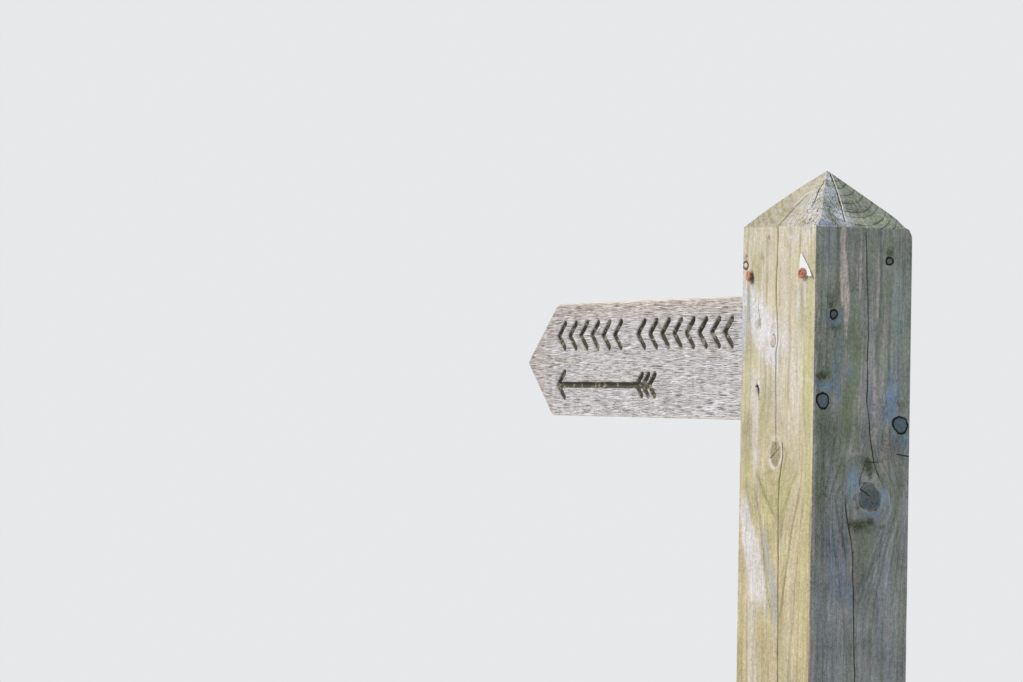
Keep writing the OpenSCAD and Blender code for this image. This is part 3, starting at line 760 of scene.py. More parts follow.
STRIPS = {
    (RIGHT, "bleach"): [(0.85, 0.5, [(-17.0, -16.2, 1604), (-18.7, -15.4, 1617), (-20.4, -14.8, 1633),
     (-24.3, -15.2, 1643), (-24.9, -16.1, 1658), (-24.8, -19.7, 1700)]), (0.75, 0.4, [(-4.2, -3.0, 1638),
     (-4.8, -2.4, 1663), (-4.9, -3.1, 1694)]), (0.6, 0.5, [(14, 15.2, 1628), (13.8, 16.2, 1656),
     (13.3, 15.2, 1674)]), (0.9, 0.4, [(12, 13.2, 1549), (12.0, 14.8, 1562), (10.8, 13.2, 1584)]),
     (0.55, 0.5, [(22.4, 24.6, 1549), (20.2, 22.6, 1575)])],
    (FRONT, "bleach"): [(0.5, 1.0, [(-31.4, -25.9, 1494), (-32.6, -25.0, 1516), (-33.2, -24.6, 1537),
     (-35.3, -23.8, 1552), (-36.7, -28, 1569), (-38, -32, 1585)]), (0.4, 1.6, [(-31.5, -22, 1240),
     (-33, -22.1, 1324), (-34.2, -24, 1366), (-36.7, -22, 1392), (-38.6, -14, 1410)]),
     (0.85, 3.0, [(-32, -8, 1386), (-36.5, -12, 1413), (-43, -20, 1436)]),
     (0.95, 2.6, [(-40, -15.5, 1422), (-44, -21.5, 1436), (-47.6, -33, 1460), (-48.6, -41.5, 1478)]),
     (0.4, 0.9, [(27.4, 30.2, 1575), (27.0, 30.1, 1617)]), (0.8, 0.7, [(27.0, 30.1, 1617),
     (26.0, 29.1, 1655)]), (0.7, 0.6, [(35.5, 38.6, 1628), (34.9, 38.0, 1655)]),
     (0.85, 0.8, [(-51, -44.6, 1604), (-51, -44.4, 1655)]), (0.9, 0.8, [(-37.6, -30, 1616),
     (-37.6, -31, 1655)])],
    (FRONT, "blue"): [(1.5, 0.8, [(-41.6, -38.4, 1618), (-40.9, -38.6, 1627), (-42.6, -39.4, 1657)]),
     (0.8, 2.4, [(-1.5, 6.0, 1376), (-3.7, 5.4, 1396), (-8.5, 2.6, 1412), (-13, -4.5, 1426),
     (-20.5, -13.7, 1452)])]}


def trails(kind, face, s, z):
    """The strongest of a face's trails and strips of one kind, at each place."""
    most = np.zeros_like(s)
    for half, strength, course in TRAILS.get((face, kind), []):
        places, heights = np.array(course).T
        middle = np.interp(z, heights, places) + 0.8 * wander(z / 14, 2, 79)
        side = np.exp(-(((s - middle) / half) ** 2) ** 1.3)
        most = np.maximum(most, strength * window(z, heights[0], heights[-1], 8) * side)
    for strength, soft, course in STRIPS.get((face, kind), []):
        lefts, rights, heights = np.array(course).T
        ragged = s + 0.6 * wander(z / 11, s / 3, 80)
        side = window(ragged, np.interp(z, heights, lefts), np.interp(z, heights, rights), soft)
        low, high = heights[0] - 9 * wander(s / 1.5, 0, 77), heights[-1] - 9 * wander(s / 1.5, 4, 77)
        most = np.maximum(most, strength * window(z, low, high, 8) * side)
    return most


print("trails and strips:", sum(len(rows) for table in (TRAILS, STRIPS) for rows in table.values()))

# %% [markdown]
# Below a live knot the rings come to the surface as pointed arches, one inside the other. Here one
# arch is given, and the finish draws the others at equal steps from its two sides.

# %% Arches
# For each face: the left and the right side of its arch as (across, height)
ARCHES = {
    FRONT: ([(7.4, 1377), (5.2, 1379), (-2, 1396), (-9.3, 1416), (-15, 1440), (-20.9, 1466),
     (-26.4, 1478), (-33, 1492)],
            [(7.4, 1377), (9.5, 1383), (13.9, 1405), (19, 1428), (21.9, 1444), (24.8, 1458), (29.4, 1470),
             (36, 1484)]),
    RIGHT: ([(-2, 1389), (-3.1, 1393), (-12.1, 1407), (-19.9, 1419), (-30.2, 1435), (-38, 1447),
     (-44, 1456)],
            [(-2, 1389), (3.1, 1401), (7.9, 1415), (12.8, 1427), (17.6, 1439), (23.8, 1451), (30, 1463),
             (35, 1474)])}


def arch_lines(face, s, z):
    """Signed distance across to the arch's side, negative inside, and how strongly it shows."""
    if face not in ARCHES:
        return np.full_like(s, 30.0), np.zeros_like(s)
    (left_s, left_z), (right_s, right_z) = (np.array(side).T for side in ARCHES[face])
    left, right = np.interp(z, left_z, left_s), np.interp(z, right_z, right_s)
    away = np.maximum(left - s, s - right) + 0.7 * wander(z / 16, s / 20, 78)
    strength = ease(z, left_z[0] - 30, left_z[0] + 6) * ease(-z, -right_z[-1] - 12, -right_z[-1] + 22)
    if face == RIGHT:
        strength = strength * np.where(s < (left + right) / 2, 0.45, 1.15)
    return away, strength * np.exp(-np.abs(away) / 9)


print("faces with an arch:", len(ARCHES))

# %% [markdown]
# ## Build the post
# Everything that the finish needs to know about a spot is stored on the mesh: where the fibre lies,
# which ring it is in, and how bleached, damp or mossy it is. Then the four faces become one closed
# skin. Neighbouring faces share the column at their arris, so no seam opens there. On the left
# face the quads in front of the mortise are left out, and the hole's own walls are added.

# %% The points and notes of one face
# Each stain: its patches, their seed, and how far the grain lifts their edges.
STAINS = {"bleach": (BLEACHED, 81, 6), "green": (GREEN, 83, 6), "blue": (BLUE, 85, 3.0),
          "smudge_and_shadow": (SMUDGE_AND_SHADOW, 87, 2.0)}
# For each face: its share of the shaded paints (painted shade and algae), and how strongly its light and
# dark wander
DIMNESS, LOUDNESS = (0.0, 1.0, 0.9, 0.25), (0.85, 1.5, 1.35, 0.95)


def post_side(face):
    """One face's points in X, Y and Z, and what the finish needs to know about each of them."""
    s, out, groove = face_surface(face)
    z = height_of(face, s, out)
    spot = {kind: np.maximum(patches(table, face, s, z, seed, lift), trails(kind, face, s, z))
            for kind, (table, seed, lift) in STAINS.items()}
    spot["arch"], spot["arch_strength"] = arch_lines(face, s, z)
    low_front = (face == FRONT) * ease(-z, -1550, -1440)
    spot.update(
        fibre=fibre_place(face, s, z), ring=ring_number(face, s, out, z), crack=groove,
        knot=knot_edge(DEAD_KNOTS, face, s, z), live_knot=knot_edge(LIVE_KNOTS, face, s, z),
        facet=hip_bulge(*turned(face, s, out))[1], hollow=nail_hollow(face, s, z),
        light=(patches(LIGHTER, face, s, z, 91, 2.0) - patches(DARKER, face, s, z, 95, 2.0)
               + trails("light", face, s, z)),
        loud=LOUDNESS[face] + low_front * (0.3 - 0.55 * np.minimum(spot["bleach"], 1)),
        shade=np.full_like(s, DIMNESS[face]), damp=1 - ease(z + 25 * wander(s / 14, 0, 89), 10, 130))
    deep = face_relief(face, s, out, z)
    dive = math.pi / 2 * ease(levels, 1700, 1712)[:, None]
    cut = GROOVE_DEPTH * groove * (0.35 + 0.65 * shrink[:, None])
    inward = ~ON_SLOPE * (deep + split_crease(face, s, z)) + cut * np.cos(dive)
    x, y = worn_top(*turned(face, s, out - inward))
    return np.stack([x, y, z - ON_SLOPE * deep - cut * np.sin(dive)], axis=2), spot


sides = [post_side(face) for face in range(4)]
widths = [place.shape[1] - 1 for place, _ in sides]
print("notes stored:", ", ".join(sides[FRONT][1]))

# %% Helpers for meshes
def corners(grid):
    """The four corner values of every cell in a grid, one cell after the other."""
    return np.stack([grid[:-1, :-1], grid[:-1, 1:], grid[1:, 1:], grid[1:, :-1]], axis=2).reshape(-1, 4)


def tube_numbers(rows, per_row, closed_rows=0):
    """Point numbers of a tube's net. The first column comes again at the end, to close the tube."""
    numbers = np.arange(rows * per_row).reshape(rows, per_row)
    return np.pad(numbers, ((0, closed_rows), (0, 1)), mode="wrap")


def plain_piece(name, points, faces, notes=None):
    """A mesh object from points in millimetres. notes maps a name to one value per face corner."""
    mesh = bpy.data.meshes.new(name)
    mesh.from_pydata((np.asarray(points) * MM).tolist(), [], faces)
    for note, values in (notes or {}).items():
        layer = mesh.attributes.new(note, "FLOAT", "CORNER")
        layer.data.foreach_set("value", np.asarray(values, np.float32))
    mesh.polygons.foreach_set("use_smooth", [True] * len(mesh.polygons))
    mesh.update()
    piece = bpy.data.objects.new(name, mesh)
    bpy.context.scene.collection.objects.link(piece)
    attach(piece, "root")
    return piece


print("a tube with 2 rows of 3 points has the quads", corners(tube_numbers(2, 3)).tolist())

# %% The post's skin
around = sum(widths)
points = np.concatenate([place[:, :-1] for place, _ in sides], axis=1).reshape(-1, 3).tolist()
hole_rows = [int(np.argmin(np.abs(levels - z))) for z in MORTISE[2:]]
across_left = face_surface(LEFT)[0][hole_rows[0]]
hole_columns = [int(np.argmin(np.abs(across_left - s))) for s in MORTISE[:2]]
skin, sawn, notes = [], [], {name: [] for name in sides[FRONT][1]}
for face, (_, spot) in enumerate(sides):
    kept = np.ones((len(levels) - 1, widths[face]), bool)
    if face == LEFT:
        kept[slice(*hole_rows), slice(*hole_columns)] = False
    kept = kept.ravel()
    in_row = (sum(widths[:face]) + np.arange(widths[face] + 1)) % around
    numbers = np.arange(len(levels))[:, None] * around + in_row
    skin += corners(numbers)[kept].tolist()
    sawn += np.repeat(ON_SLOPE[:-1], widths[face])[kept].tolist()
    for name, values in notes.items():
        values += corners(spot[name])[kept].ravel().tolist()
print("post's sides:", len(skin), "quads")

# %% The post's tip, foot and mortise
tip, foot, last = len(points), len(points) + 1, (len(levels) - 1) * around
points += [(-0.4, -0.6, TIP_Z), (0, 0, 0)]
for i in range(around):
    j = (i + 1) % around
    skin += [(last + i, last + j, tip), (j, i, foot)]

# The hole's rim on the left face, whose point numbers came last, and the same rim at its far end
(row0, row1), (col0, col1) = hole_rows, hole_columns
rim = [*numbers[row0, col0:col1], *numbers[row0:row1, col1],
       *numbers[row1, col1:col0:-1], *numbers[row1:row0:-1, col0]]
inner, far_x = len(points), -HALF + MORTISE_DEPTH
points += [(far_x, *points[i][1:]) for i in rim] + [(far_x, 0, 1593)]
for i in range(len(rim)):
    j = (i + 1) % len(rim)
    skin += [(rim[i], rim[j], inner + j, inner + i), (inner + i, inner + j, len(points) - 1)]
sawn += [True] * 2 * (around + len(rim))
# The mortise's walls take the shaded paints: painted shade inside the hole.
for name, values in notes.items():
    values += [0.0] * 6 * around + [float(name == "shade")] * 7 * len(rim)

post = plain_piece("post_body", points, skin, notes)
post.data.polygons.foreach_set("material_index", np.array(sawn, np.int32))
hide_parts("post")
print("post:", len(points), "points,", sum(len(f) - 2 for f in skin), "triangles")

# %% [markdown]
# ## Node groups for streaks and thin lines
# Wood is drawn along its fibres: every mark on it is long and thin. The first group stretches a
# noise along the stored fibre, so streaks bend round the knots by themselves. The second draws a
# thin straight line between two places of a face: splits and saw marks are too fine for the mesh.

# %% Node groups for streaks and thin lines
streaks, inside = new_group("Streaks", Fibre=0, Height=0, Width=4, Length=60, Detail=2, Seed=0)
spot = put("CombineXYZ", {0: maths("DIVIDE", inside["Fibre"], inside["Width"]),
                          1: maths("DIVIDE", inside["Height"], inside["Length"]), 2: inside["Seed"]})
close_group(noise(1.0, inside["Detail"], vector=spot))

line_group, inside = new_group("Line", Across=0, Height=0, X1=0, Z1=0, X2=1, Z2=0, Half=1)
here, whole = (put("CombineXYZ", {0: maths("SUBTRACT", inside[x], inside["X1"]),
                                  1: maths("SUBTRACT", inside[z], inside["Z1"])})
               for x, z in (("Across", "Height"), ("X2", "Z2")))
along_it, squared = (put("VectorMath", {0: whole, 1: other}, operation="DOT_PRODUCT", out="Value")
                     for other in (here, whole))
share = maths("DIVIDE", along_it, squared, clamp=True)
foot_point = put("VectorMath", {0: whole, "Scale": share}, operation="SCALE")
away = put("VectorMath", {0: here, 1: foot_point}, operation="DISTANCE", out="Value")
close_group(between(maths("DIVIDE", away, inside["Half"]), 0.6, 1.4, 1, 0))
print("groups:", [group.name for group in bpy.data.node_groups])

# %% [markdown]
# ## Weathered softwood
# Colours are laid over each other as weather did it: clean wood, growth rings, algae, bleaching,
# stains, and last the black rings and cracks. The shaded faces take darker, cooler paints than the
# sunny ones: partly their own algae, partly painted shade. So nearly every paint comes as a pair.
# The sawn top uses the same helpers later on.

# %% What both softwood finishes share
def streak(width, length, detail=2, seed=0):
    """Streaks of one kind along the grain, with their width and length in millimetres."""
    return use(streaks, Fibre=fibre, Height=height, Width=width, Length=length, Detail=detail, Seed=seed)


def open_softwood(name):
    """Starts a finish with the values that all its layers need."""
    global axes, height, ring, shade, fibre, fine, hairs, dust
    material = new_finish(name, Specular_IOR_Level=0.25)
    axes = put("SeparateXYZ", {0: plan}, out=None)
    height, ring, shade = axes["Z"], stored("ring"), stored("shade")
    fibre = total(stored("fibre"), swing(noise(0.07), 4.0), swing(noise(0.45, 3), 1.1))
    fine, hairs, dust = streak(1.3, 34, 3, 9), streak(0.5, 12, 2, 13), noise(0.75)
    return material


def weathered_tone(loud):
    """The light and dark that weather leaves everywhere, as a grey to multiply a colour by."""
    rough = total(swing(hairs, 0.5), swing(dust, 0.75), swing(noise(0.035, 4, 0.55), 0.6),
                  swing(fine, 0.4), swing(noise(0.3, 3), 0.55))
    return grey(total(product(rough, loud), stored("light"), 1.0))


def seen_face(face, wobble):
    """How far across a face a place lies, with a wobble, and a mask that is 1 on that face only."""
    if face == FRONT:
        return total(axes["X"], wobble), maths("LESS_THAN", shade, 0.05)
    return total(axes["Y"], wobble), maths("GREATER_THAN", shade, 0.95)


def close_softwood(late):
    """Ends a finish. late is the hard late wood, which stands a little proud."""
    relief = total(product(fine, 0.5), product(hairs, 0.4), product(dust, 0.4), product(late, 0.25))
    close_finish(colour, between(dust, 0.2, 0.8, 0.8, 0.95), relief)


print("five helpers for softwood, from streak to close_softwood")

# %% Clean wood
post_wood = open_softwood("weathered_softwood")
broad, medium = streak(10, 170, 3, 1), streak(3.6, 75, 3, 5)
low_down = between(total(height, swing(noise(0.03, 2), 120)), 1440, 1590, 1, 0)

sunny = mixed(between(broad, 0.40, 0.60), mixed(low_down, (0.60, 0.54, 0.45), (0.51, 0.43, 0.285)),
              mixed(low_down, (0.54, 0.49, 0.355), (0.475, 0.405, 0.225)))
sunny = laid(sunny, between(medium, 0.52, 0.68, 0, 0.7), (0.60, 0.515, 0.435))
sunny = laid(sunny, between(streak(2.6, 140, 2, 17), 0.56, 0.66, 0, 0.8), (0.41, 0.385, 0.275))
sunny = laid(sunny, between(streak(0.9, 120, 1, 61), 0.60, 0.68, 0, 0.6), (0.40, 0.31, 0.20))
shady = mixed(between(broad, 0.42, 0.58), mixed(low_down, (0.215, 0.255, 0.205), (0.215, 0.24, 0.225)),
              mixed(low_down, (0.285, 0.305, 0.305), (0.27, 0.29, 0.315)))
shady = laid(shady, between(streak(7, 40, 3, 19), 0.5, 0.66, 0, 0.8), (0.30, 0.295, 0.31))
shady = laid(shady, between(medium, 0.53, 0.68, 0, 0.7), (0.375, 0.36, 0.35))
shady = laid(shady, between(streak(3.0, 150, 2, 21), 0.56, 0.68, 0, 0.6), (0.12, 0.15, 0.13))
shady = laid(shady, between(streak(0.8, 160, 1, 63), 0.62, 0.70, 0, 0.35), (0.08, 0.095, 0.08))
# The shaded faces take the darker, cooler paints: painted shade laid with their own algae.
colour = mixed(shade, sunny, shady)

phase = maths("FRACT", total(ring, swing(fine, 0.2), swing(noise(0.35), 0.14)))
late = product(band(phase, 0.60, 0.90, 0.93, 1.0), between(streak(16, 80, 1, 25), 0.38, 0.62, 0.1, 1))
colour = laid(colour, late, tinted(colour, mixed(shade, (0.76, 0.75, 0.68), (0.64, 0.67, 0.64))))
print("clean wood:", len(tree.nodes), "nodes")

# %% [markdown]
# Each stain's strength was stored on the mesh. Here it gets a ragged edge from a streak or a noise,
# because a real stain creeps along the fibres. The arches under a knot are drawn as waves.

# %% Stains on the faces
arch, arch_strength = total(stored("arch"), swing(medium, 6.0)), stored("arch_strength")
wave = maths("COSINE", product(arch, 1.25))
colour = laid(colour, product(between(wave, 0.1, 0.9, 0, 0.55), arch_strength),
              (0.365, 0.345, 0.20), (0.12, 0.145, 0.145))
colour = laid(colour, product(between(wave, -0.2, -1.0, 0, 0.25), arch_strength),
              (0.62, 0.56, 0.42), (0.29, 0.30, 0.30))


def ragged_stain(name, edge, low, high, least, most=1, clamp=True):
    """A stored stain whose edge is broken up by another value."""
    return maths("MULTIPLY", stored(name), between(edge, low, high, least, most), clamp=clamp)


green = ragged_stain("green", total(medium, swing(noise(0.25, 3), 0.6)), 0.3, 0.62, 0.2, 0.9, clamp=False)
colour = laid(colour, green, (0.465, 0.445, 0.215), (0.15, 0.19, 0.11))
both = product(total(fine, medium), 0.5)
bleach = ragged_stain("bleach", total(both, swing(noise(0.3, 2), 0.4)), 0.34, 0.58, 0.4)
chalk = mixed(between(medium, 0.4, 0.6), (0.67, 0.665, 0.71), (0.655, 0.63, 0.645))
# Near the left arris the bleached wood is painted greyer and cooler: painted shade at that edge.
left_arris_shade = product(between(axes["X"], -28, -42), between(height, 1530, 1570))
chalk = laid(chalk, left_arris_shade, (0.56, 0.60, 0.70))
colour = laid(colour, bleach, chalk, (0.56, 0.475, 0.45))
blue = ragged_stain("blue", total(streak(1.8, 26, 3, 29), swing(noise(0.3, 3), 0.5)), 0.30, 0.56, 0.35)
colour = laid(colour, blue, (0.35, 0.365, 0.375), (0.16, 0.245, 0.365))
# Mould and dirt, and beside the left nail its painted shadow.
smudge_and_shadow = ragged_stain("smudge_and_shadow", noise(0.6, 4, 0.75), 0.40, 0.54, 0.22)
colour = laid(colour, smudge_and_shadow, (0.17, 0.155, 0.09), (0.058, 0.076, 0.036))

tone = weathered_tone(stored("loud"))
specks = product(between(noise(0.5, 3, 0.7), 0.62, 0.70), between(shade, 0, 1, 0.3, 0.65))
colour = laid(tinted(colour, tone), specks, (0.07, 0.075, 0.05))
print("with stains:", len(tree.nodes), "nodes")

# %% [markdown]
# A knot is branch wood seen end on, so it has a colour of its own, laid over the stains. The stored
# distance from its rim says where its heart, its bark and the pale wood round it lie. Cracks come
# last, as they cut through everything. Low down, rain splash keeps the post damp and dark.

# %% Knots, cracks and damp
knot, live = stored("knot"), stored("live_knot")
grey_heart = mixed(between(noise(0.12, 3), 0.42, 0.6), (0.085, 0.13, 0.17), (0.115, 0.145, 0.15))
grey_heart = laid(grey_heart, between(height, 1590, 1610), (0.10, 0.125, 0.105))
heart = tinted(mixed(shade, (0.62, 0.56, 0.49), grey_heart), tone)
colour = laid(colour, between(knot, -0.8, -0.2, 1, 0), heart)
bark = band(total(knot, swing(noise(0.5, 2), 1.1)), -1.5, -0.95, 0.3, 0.8)
colour = laid(colour, bark, (0.13, 0.09, 0.055), (0.010, 0.011, 0.011))

swirl = maths("SINE", product(total(live, swing(noise(0.12, 3), 5)), 1.9))
grey_live = mixed(between(noise(0.12, 3), 0.44, 0.58), (0.088, 0.125, 0.155), (0.13, 0.155, 0.15))
grown_in = mixed(shade, (0.355, 0.31, 0.21), grey_live)
grown_in = laid(grown_in, between(swirl, 0.2, 1.0, 0, 0.5), (0.27, 0.235, 0.15), (0.08, 0.10, 0.09))
grown_in = tinted(laid(grown_in, product(bleach, 0.9), (0.55, 0.455, 0.43)), tone)
halo = product(band(total(live, swing(fine, 3.0)), 0.2, 0.8, 2.2, 4.6), between(shade, 0, 1, 0.85, 0.4),
               between(noise(0.11, 3), 0.40, 0.58, 0.2, 1))
colour = laid(colour, halo, (0.61, 0.61, 0.58), (0.30, 0.33, 0.34))
ragged = total(live, swing(noise(0.25, 3), 2.6))
colour = laid(colour, between(ragged, -1.6, 0.5, 1, 0), grown_in)
rim_line = product(band(ragged, -0.6, -0.3, 0.1, 0.5), between(noise(0.10, 2), 0.44, 0.56, 0.0, 0.9))
colour = laid(colour, rim_line, (0.17, 0.125, 0.075), (0.03, 0.035, 0.03))

# Checks and splits are painted near black, a painted shade inside the cracks; near the nails they are
# rust-brown.
crack = between(stored("crack"), 0.02, 0.16)
# Painted shade in the punched nails' pits.
colour = laid(colour, product(stored("hollow"), 0.5), (0.22, 0.15, 0.10))
for face in (FRONT, RIGHT):
    across, on_this_face = seen_face(face, swing(noise(0.22, 2), 1.6))
    for s1, z1, s2, z2, half in of_face(face, SPLITS):
        line = use(line_group, Across=across, Height=height, X1=s1, Z1=z1, X2=s2, Z2=z2, Half=half)
        crack = maths("MAXIMUM", crack, product(line, on_this_face))
rusty = product(between(height, 1600, 1632), between(shade, 0.2, 0.8, 1, 0))
colour = laid(colour, crack, mixed(rusty, (0.028, 0.022, 0.017), (0.20, 0.11, 0.065)))
colour = laid(colour, product(stored("damp"), 0.6), tinted(colour, (0.42, 0.45, 0.33)))
close_softwood(late)
post.data.materials.append(post_wood)
print("post finish:", len(tree.nodes), "nodes")

# %% [markdown]
# ## End grain
# The sawn top is end grain, so it has a finish of its own. The rings show as arcs, and short dark
# dashes point away from the heart, where the wood has opened along its rays. The shaded slope is
# painted darker and bluer, as in shade, and is grey and green with algae. The sunny one is
# bleached beside the hip, and brown further round.

# %% End grain: rings, rays and algae
end_grain = open_softwood("sawn_end_grain")
phase = maths("FRACT", total(ring, swing(fine, 0.2), swing(noise(0.35), 0.14),
                             swing(noise(0.1, 3), 0.25)))
seen_from_above = put("CombineXYZ", {0: axes["X"], 1: axes["Y"]})
radius = put("VectorMath", {0: seen_from_above}, operation="LENGTH", out="Value")
angle = maths("ARCTAN2", axes["Y"], axes["X"])
ray_spot = put("CombineXYZ", {0: product(total(angle, swing(noise(0.08), 0.16)), 34),
                              1: maths("DIVIDE", radius, 3.6)})
hip = maths("ABSOLUTE", total(angle, 0.74))

# Sunny and shaded slopes have their own paints; the shaded ones are partly painted shade.
colour = mixed(shade, mixed(between(hip, 0.35, 1.0), (0.50, 0.49, 0.485), (0.42, 0.39, 0.325)),
               mixed(between(hip, 0.3, 0.75), (0.62, 0.66, 0.73), (0.31, 0.34, 0.295)))
colour = laid(colour, between(noise(0.06, 4), 0.45, 0.62, 0, 0.7), (0.42, 0.39, 0.26), (0.25, 0.30, 0.20))
algae = mixed(between(noise(0.11), 0.45, 0.55), (0.24, 0.33, 0.33), (0.34, 0.35, 0.18))
colour = laid(colour, product(shade, between(noise(0.21), 0.54, 0.64, 0, 0.7)), algae)
late = product(band(phase, 0.74, 0.90, 0.95, 1.0), between(noise(0.06), 0.42, 0.56, 0.55, 1),
               between(hip, 0.2, 0.65, 0.2, 1))
colour = laid(colour, product(late, between(shade, 0, 1, 0.2, 0.9)),
              (0.24, 0.22, 0.15), (0.065, 0.08, 0.05))
dashes = product(between(noise(1.0, vector=ray_spot), 0.55, 0.59), between(hip, 0.1, 0.95, 0.95, 0.1),
                 between(shade, 0, 1, 1, 0.7))
colour = laid(colour, dashes, (0.17, 0.115, 0.08), (0.10, 0.095, 0.075))
print("end grain so far:", len(tree.nodes), "nodes")

# %% [markdown]
# Beside the near hip the saw slipped and left a narrow facet: grey-blue, with a pale rim. The few
# lines that a viewer notices on the top are listed one by one.

# %% End grain: the facet, the brown side and drawn lines
# Each line: its face, colour, half width and strength, and its course as (across, height).
TOP_LINES = [
    (RIGHT, (0.8, 0.75, 0.63), 0.5, 1.0,
     [(1.3, 1747), (-1.3, 1738), (-4.4, 1729.5), (-8.3, 1720), (-11.0, 1714), (-15.6, 1705)]),
    # This dark line runs in the check on the shaded slope: painted shade inside the crack.
    (RIGHT, (0.075, 0.042, 0.034), 0.55, 0.95,
     [(0.1, 1747), (-2.5, 1738), (-5.6, 1729.5), (-9.5, 1720), (-12.2, 1714), (-16.9, 1704)]),
    (RIGHT, (0.66, 0.62, 0.5), 0.45, 0.8,
     [(2.5, 1708), (2.9, 1704.3), (3.4, 1700.4)]),
    (RIGHT, (0.06, 0.06, 0.04), 0.4, 0.9,
     [(-24.5, 1717), (-30.8, 1708.3)]),
    (FRONT, (0.73, 0.73, 0.75), 1.0, 0.5,
     [(-4.6, 1720), (-2.8, 1725.1), (-1.0, 1730.6)])]
facet = product(stored("facet"), shade)
blued = product(between(facet, 0.3, 0.7), between(noise(0.2, 3), 0.3, 0.55, 0.55, 1))
colour = laid(colour, blued, (0.36, 0.41, 0.51))
colour = laid(colour, product(band(facet, 0.02, 0.15, 0.3, 0.6), 0.7), (0.60, 0.59, 0.55))
off_hip = between(total(axes["X"], swing(noise(0.05), 14)), -2, -22)
brown_side = product(off_hip, maths("SUBTRACT", 1.0, shade))
brown_ring = product(between(phase, 0.42, 0.80, 0.08, 0.85), between(phase, 0.90, 1.0, 1, 0.1))
colour = laid(colour, product(brown_side, brown_ring), (0.33, 0.29, 0.165))
colour = tinted(colour, weathered_tone(between(shade, 0, 1, 1.6, 2.6)))

broken = between(noise(0.35), 0.3, 0.5, 0.35, 1)
for face, paint, half, strength, course in TOP_LINES:
    across, on_this_face = seen_face(face, swing(noise(0.25), 1.4))
    line = 0.0
    for (s1, z1), (s2, z2) in zip(course, course[1:]):
        part = use(line_group, Across=across, Height=height, X1=s1, Z1=z1, X2=s2, Z2=z2, Half=half)
        line = maths("MAXIMUM", line, part)
    colour = laid(colour, product(line, on_this_face, broken, strength), paint)
# The checks on the top are painted near black: painted shade inside them.
colour = laid(colour, between(stored("crack"), 0.02, 0.16), (0.028, 0.022, 0.017))
close_softwood(late)
post.data.materials.append(end_grain)
print("end grain finish:", len(tree.nodes), "nodes")

# %% [markdown]
# ## The finger
# The finger is a hardwood board, sawn to a point, with marks cut by a round-nosed router bit and
# filled with dark paint. Chevrons and an arrow point the walker's way. The board is lofted: one
# loop of points goes round its section, and is repeated along its length. In front the net is fine
# enough for the marks, and points near a mark's edge are pulled onto it, as a router leaves a
# clean outline.

# %% Routed marks
POINT_Z, MARK_R, MARK_DEPTH = 1591.2, 3.25, 3.0
CHEVRON_Z, ARROW_Z = 1616.4, 1569.6


def chevron(x, z, reach, rise):
    return [((x, z), (x + reach, z + rise)), ((x, z), (x + reach, z - rise))]


marks = [((-398.8, ARROW_Z), (-244.3, ARROW_Z))] + chevron(-400.4, ARROW_Z, 11, 11.7)
for i in range(3):
    marks += chevron(-264.4 + 10.4 * i, ARROW_Z, 9.4, 9.6)
for i in [*range(6), *range(7, 15)]:
    marks += chevron(-400.4 + 19.6 * i, CHEVRON_Z, 11, 11.7)


def mark_distance(x, z):
    """Distance from a place on the board to the outline of the nearest mark: negative inside."""
    return functools.reduce(np.minimum, (from_line(x, z, *ends) for ends in marks)) - MARK_R


print(len(marks), "strokes to rout")

# %% The finger's outline
FINGER_Y, TOP_Z, LOW_Z, TENON_X = 14.0, 1647.6, 1540.05, 10.0
SHARP_X, TIP_R = -457.0, 5.0
TIP_CENTRE = SHARP_X + 6.85


def spaced(*stops):
    """Places from the first stop to the last. Stops alternate with the step between them."""
    places = [stops[0]]
    for step, end in zip(stops[1::2], stops[2::2]):
        count = max(1, round((end - places[-1]) / step))
        places += list(np.linspace(places[-1], end, count + 1)[1:])
    return np.array(places)


def edge_heights(x):
    """The lower and upper edge of the board at x: level edges, two sawn ones and a worn tip."""
    rounded = np.sqrt(np.maximum(TIP_R ** 2 - (np.minimum(x, TIP_CENTRE) - TIP_CENTRE) ** 2, 0))
    edges = []
    for level_z, run, shoulder, inward in ((LOW_Z, 46.5, 2.4, 1), (TOP_Z, 53.5, 5.0, -1)):
        sawn_z = POINT_Z + (x - SHARP_X) * (level_z - POINT_Z) / run
        edge_z = np.maximum(inward * sawn_z, inward * level_z) * inward
        edge_z += inward * np.maximum(shoulder - np.abs(sawn_z - level_z), 0) ** 2 / (4 * shoulder)
        edges.append(np.where(x < SHARP_X + 3.3, POINT_Z - inward * rounded, edge_z))
    return edges


xs = spaced(TIP_CENTRE - TIP_R + 0.02, 0.25, -454.0, 2.0, -410.5, 1.0, -404.5, 0.85, -109.0, 2.6, -50.0,
            6, TENON_X)
low, top = edge_heights(xs)
front_z = spaced(LOW_Z, 1.6, 1553.0, 0.85, 1586.4, 1.7, 1600.0, 0.85, 1632.8, 1.7, TOP_Z)
back_z = spaced(LOW_Z, 1.9, TOP_Z)[::-1]
EASED = 1.8
edge = np.minimum(EASED, (top - low) * 0.25)[:, None]
worn = 0.10 * wander(xs / 6, 0, 91)[:, None] + 0.10 * wander(xs / 21, 5, 92)[:, None] + 0.15
print("sections along the board:", len(xs))

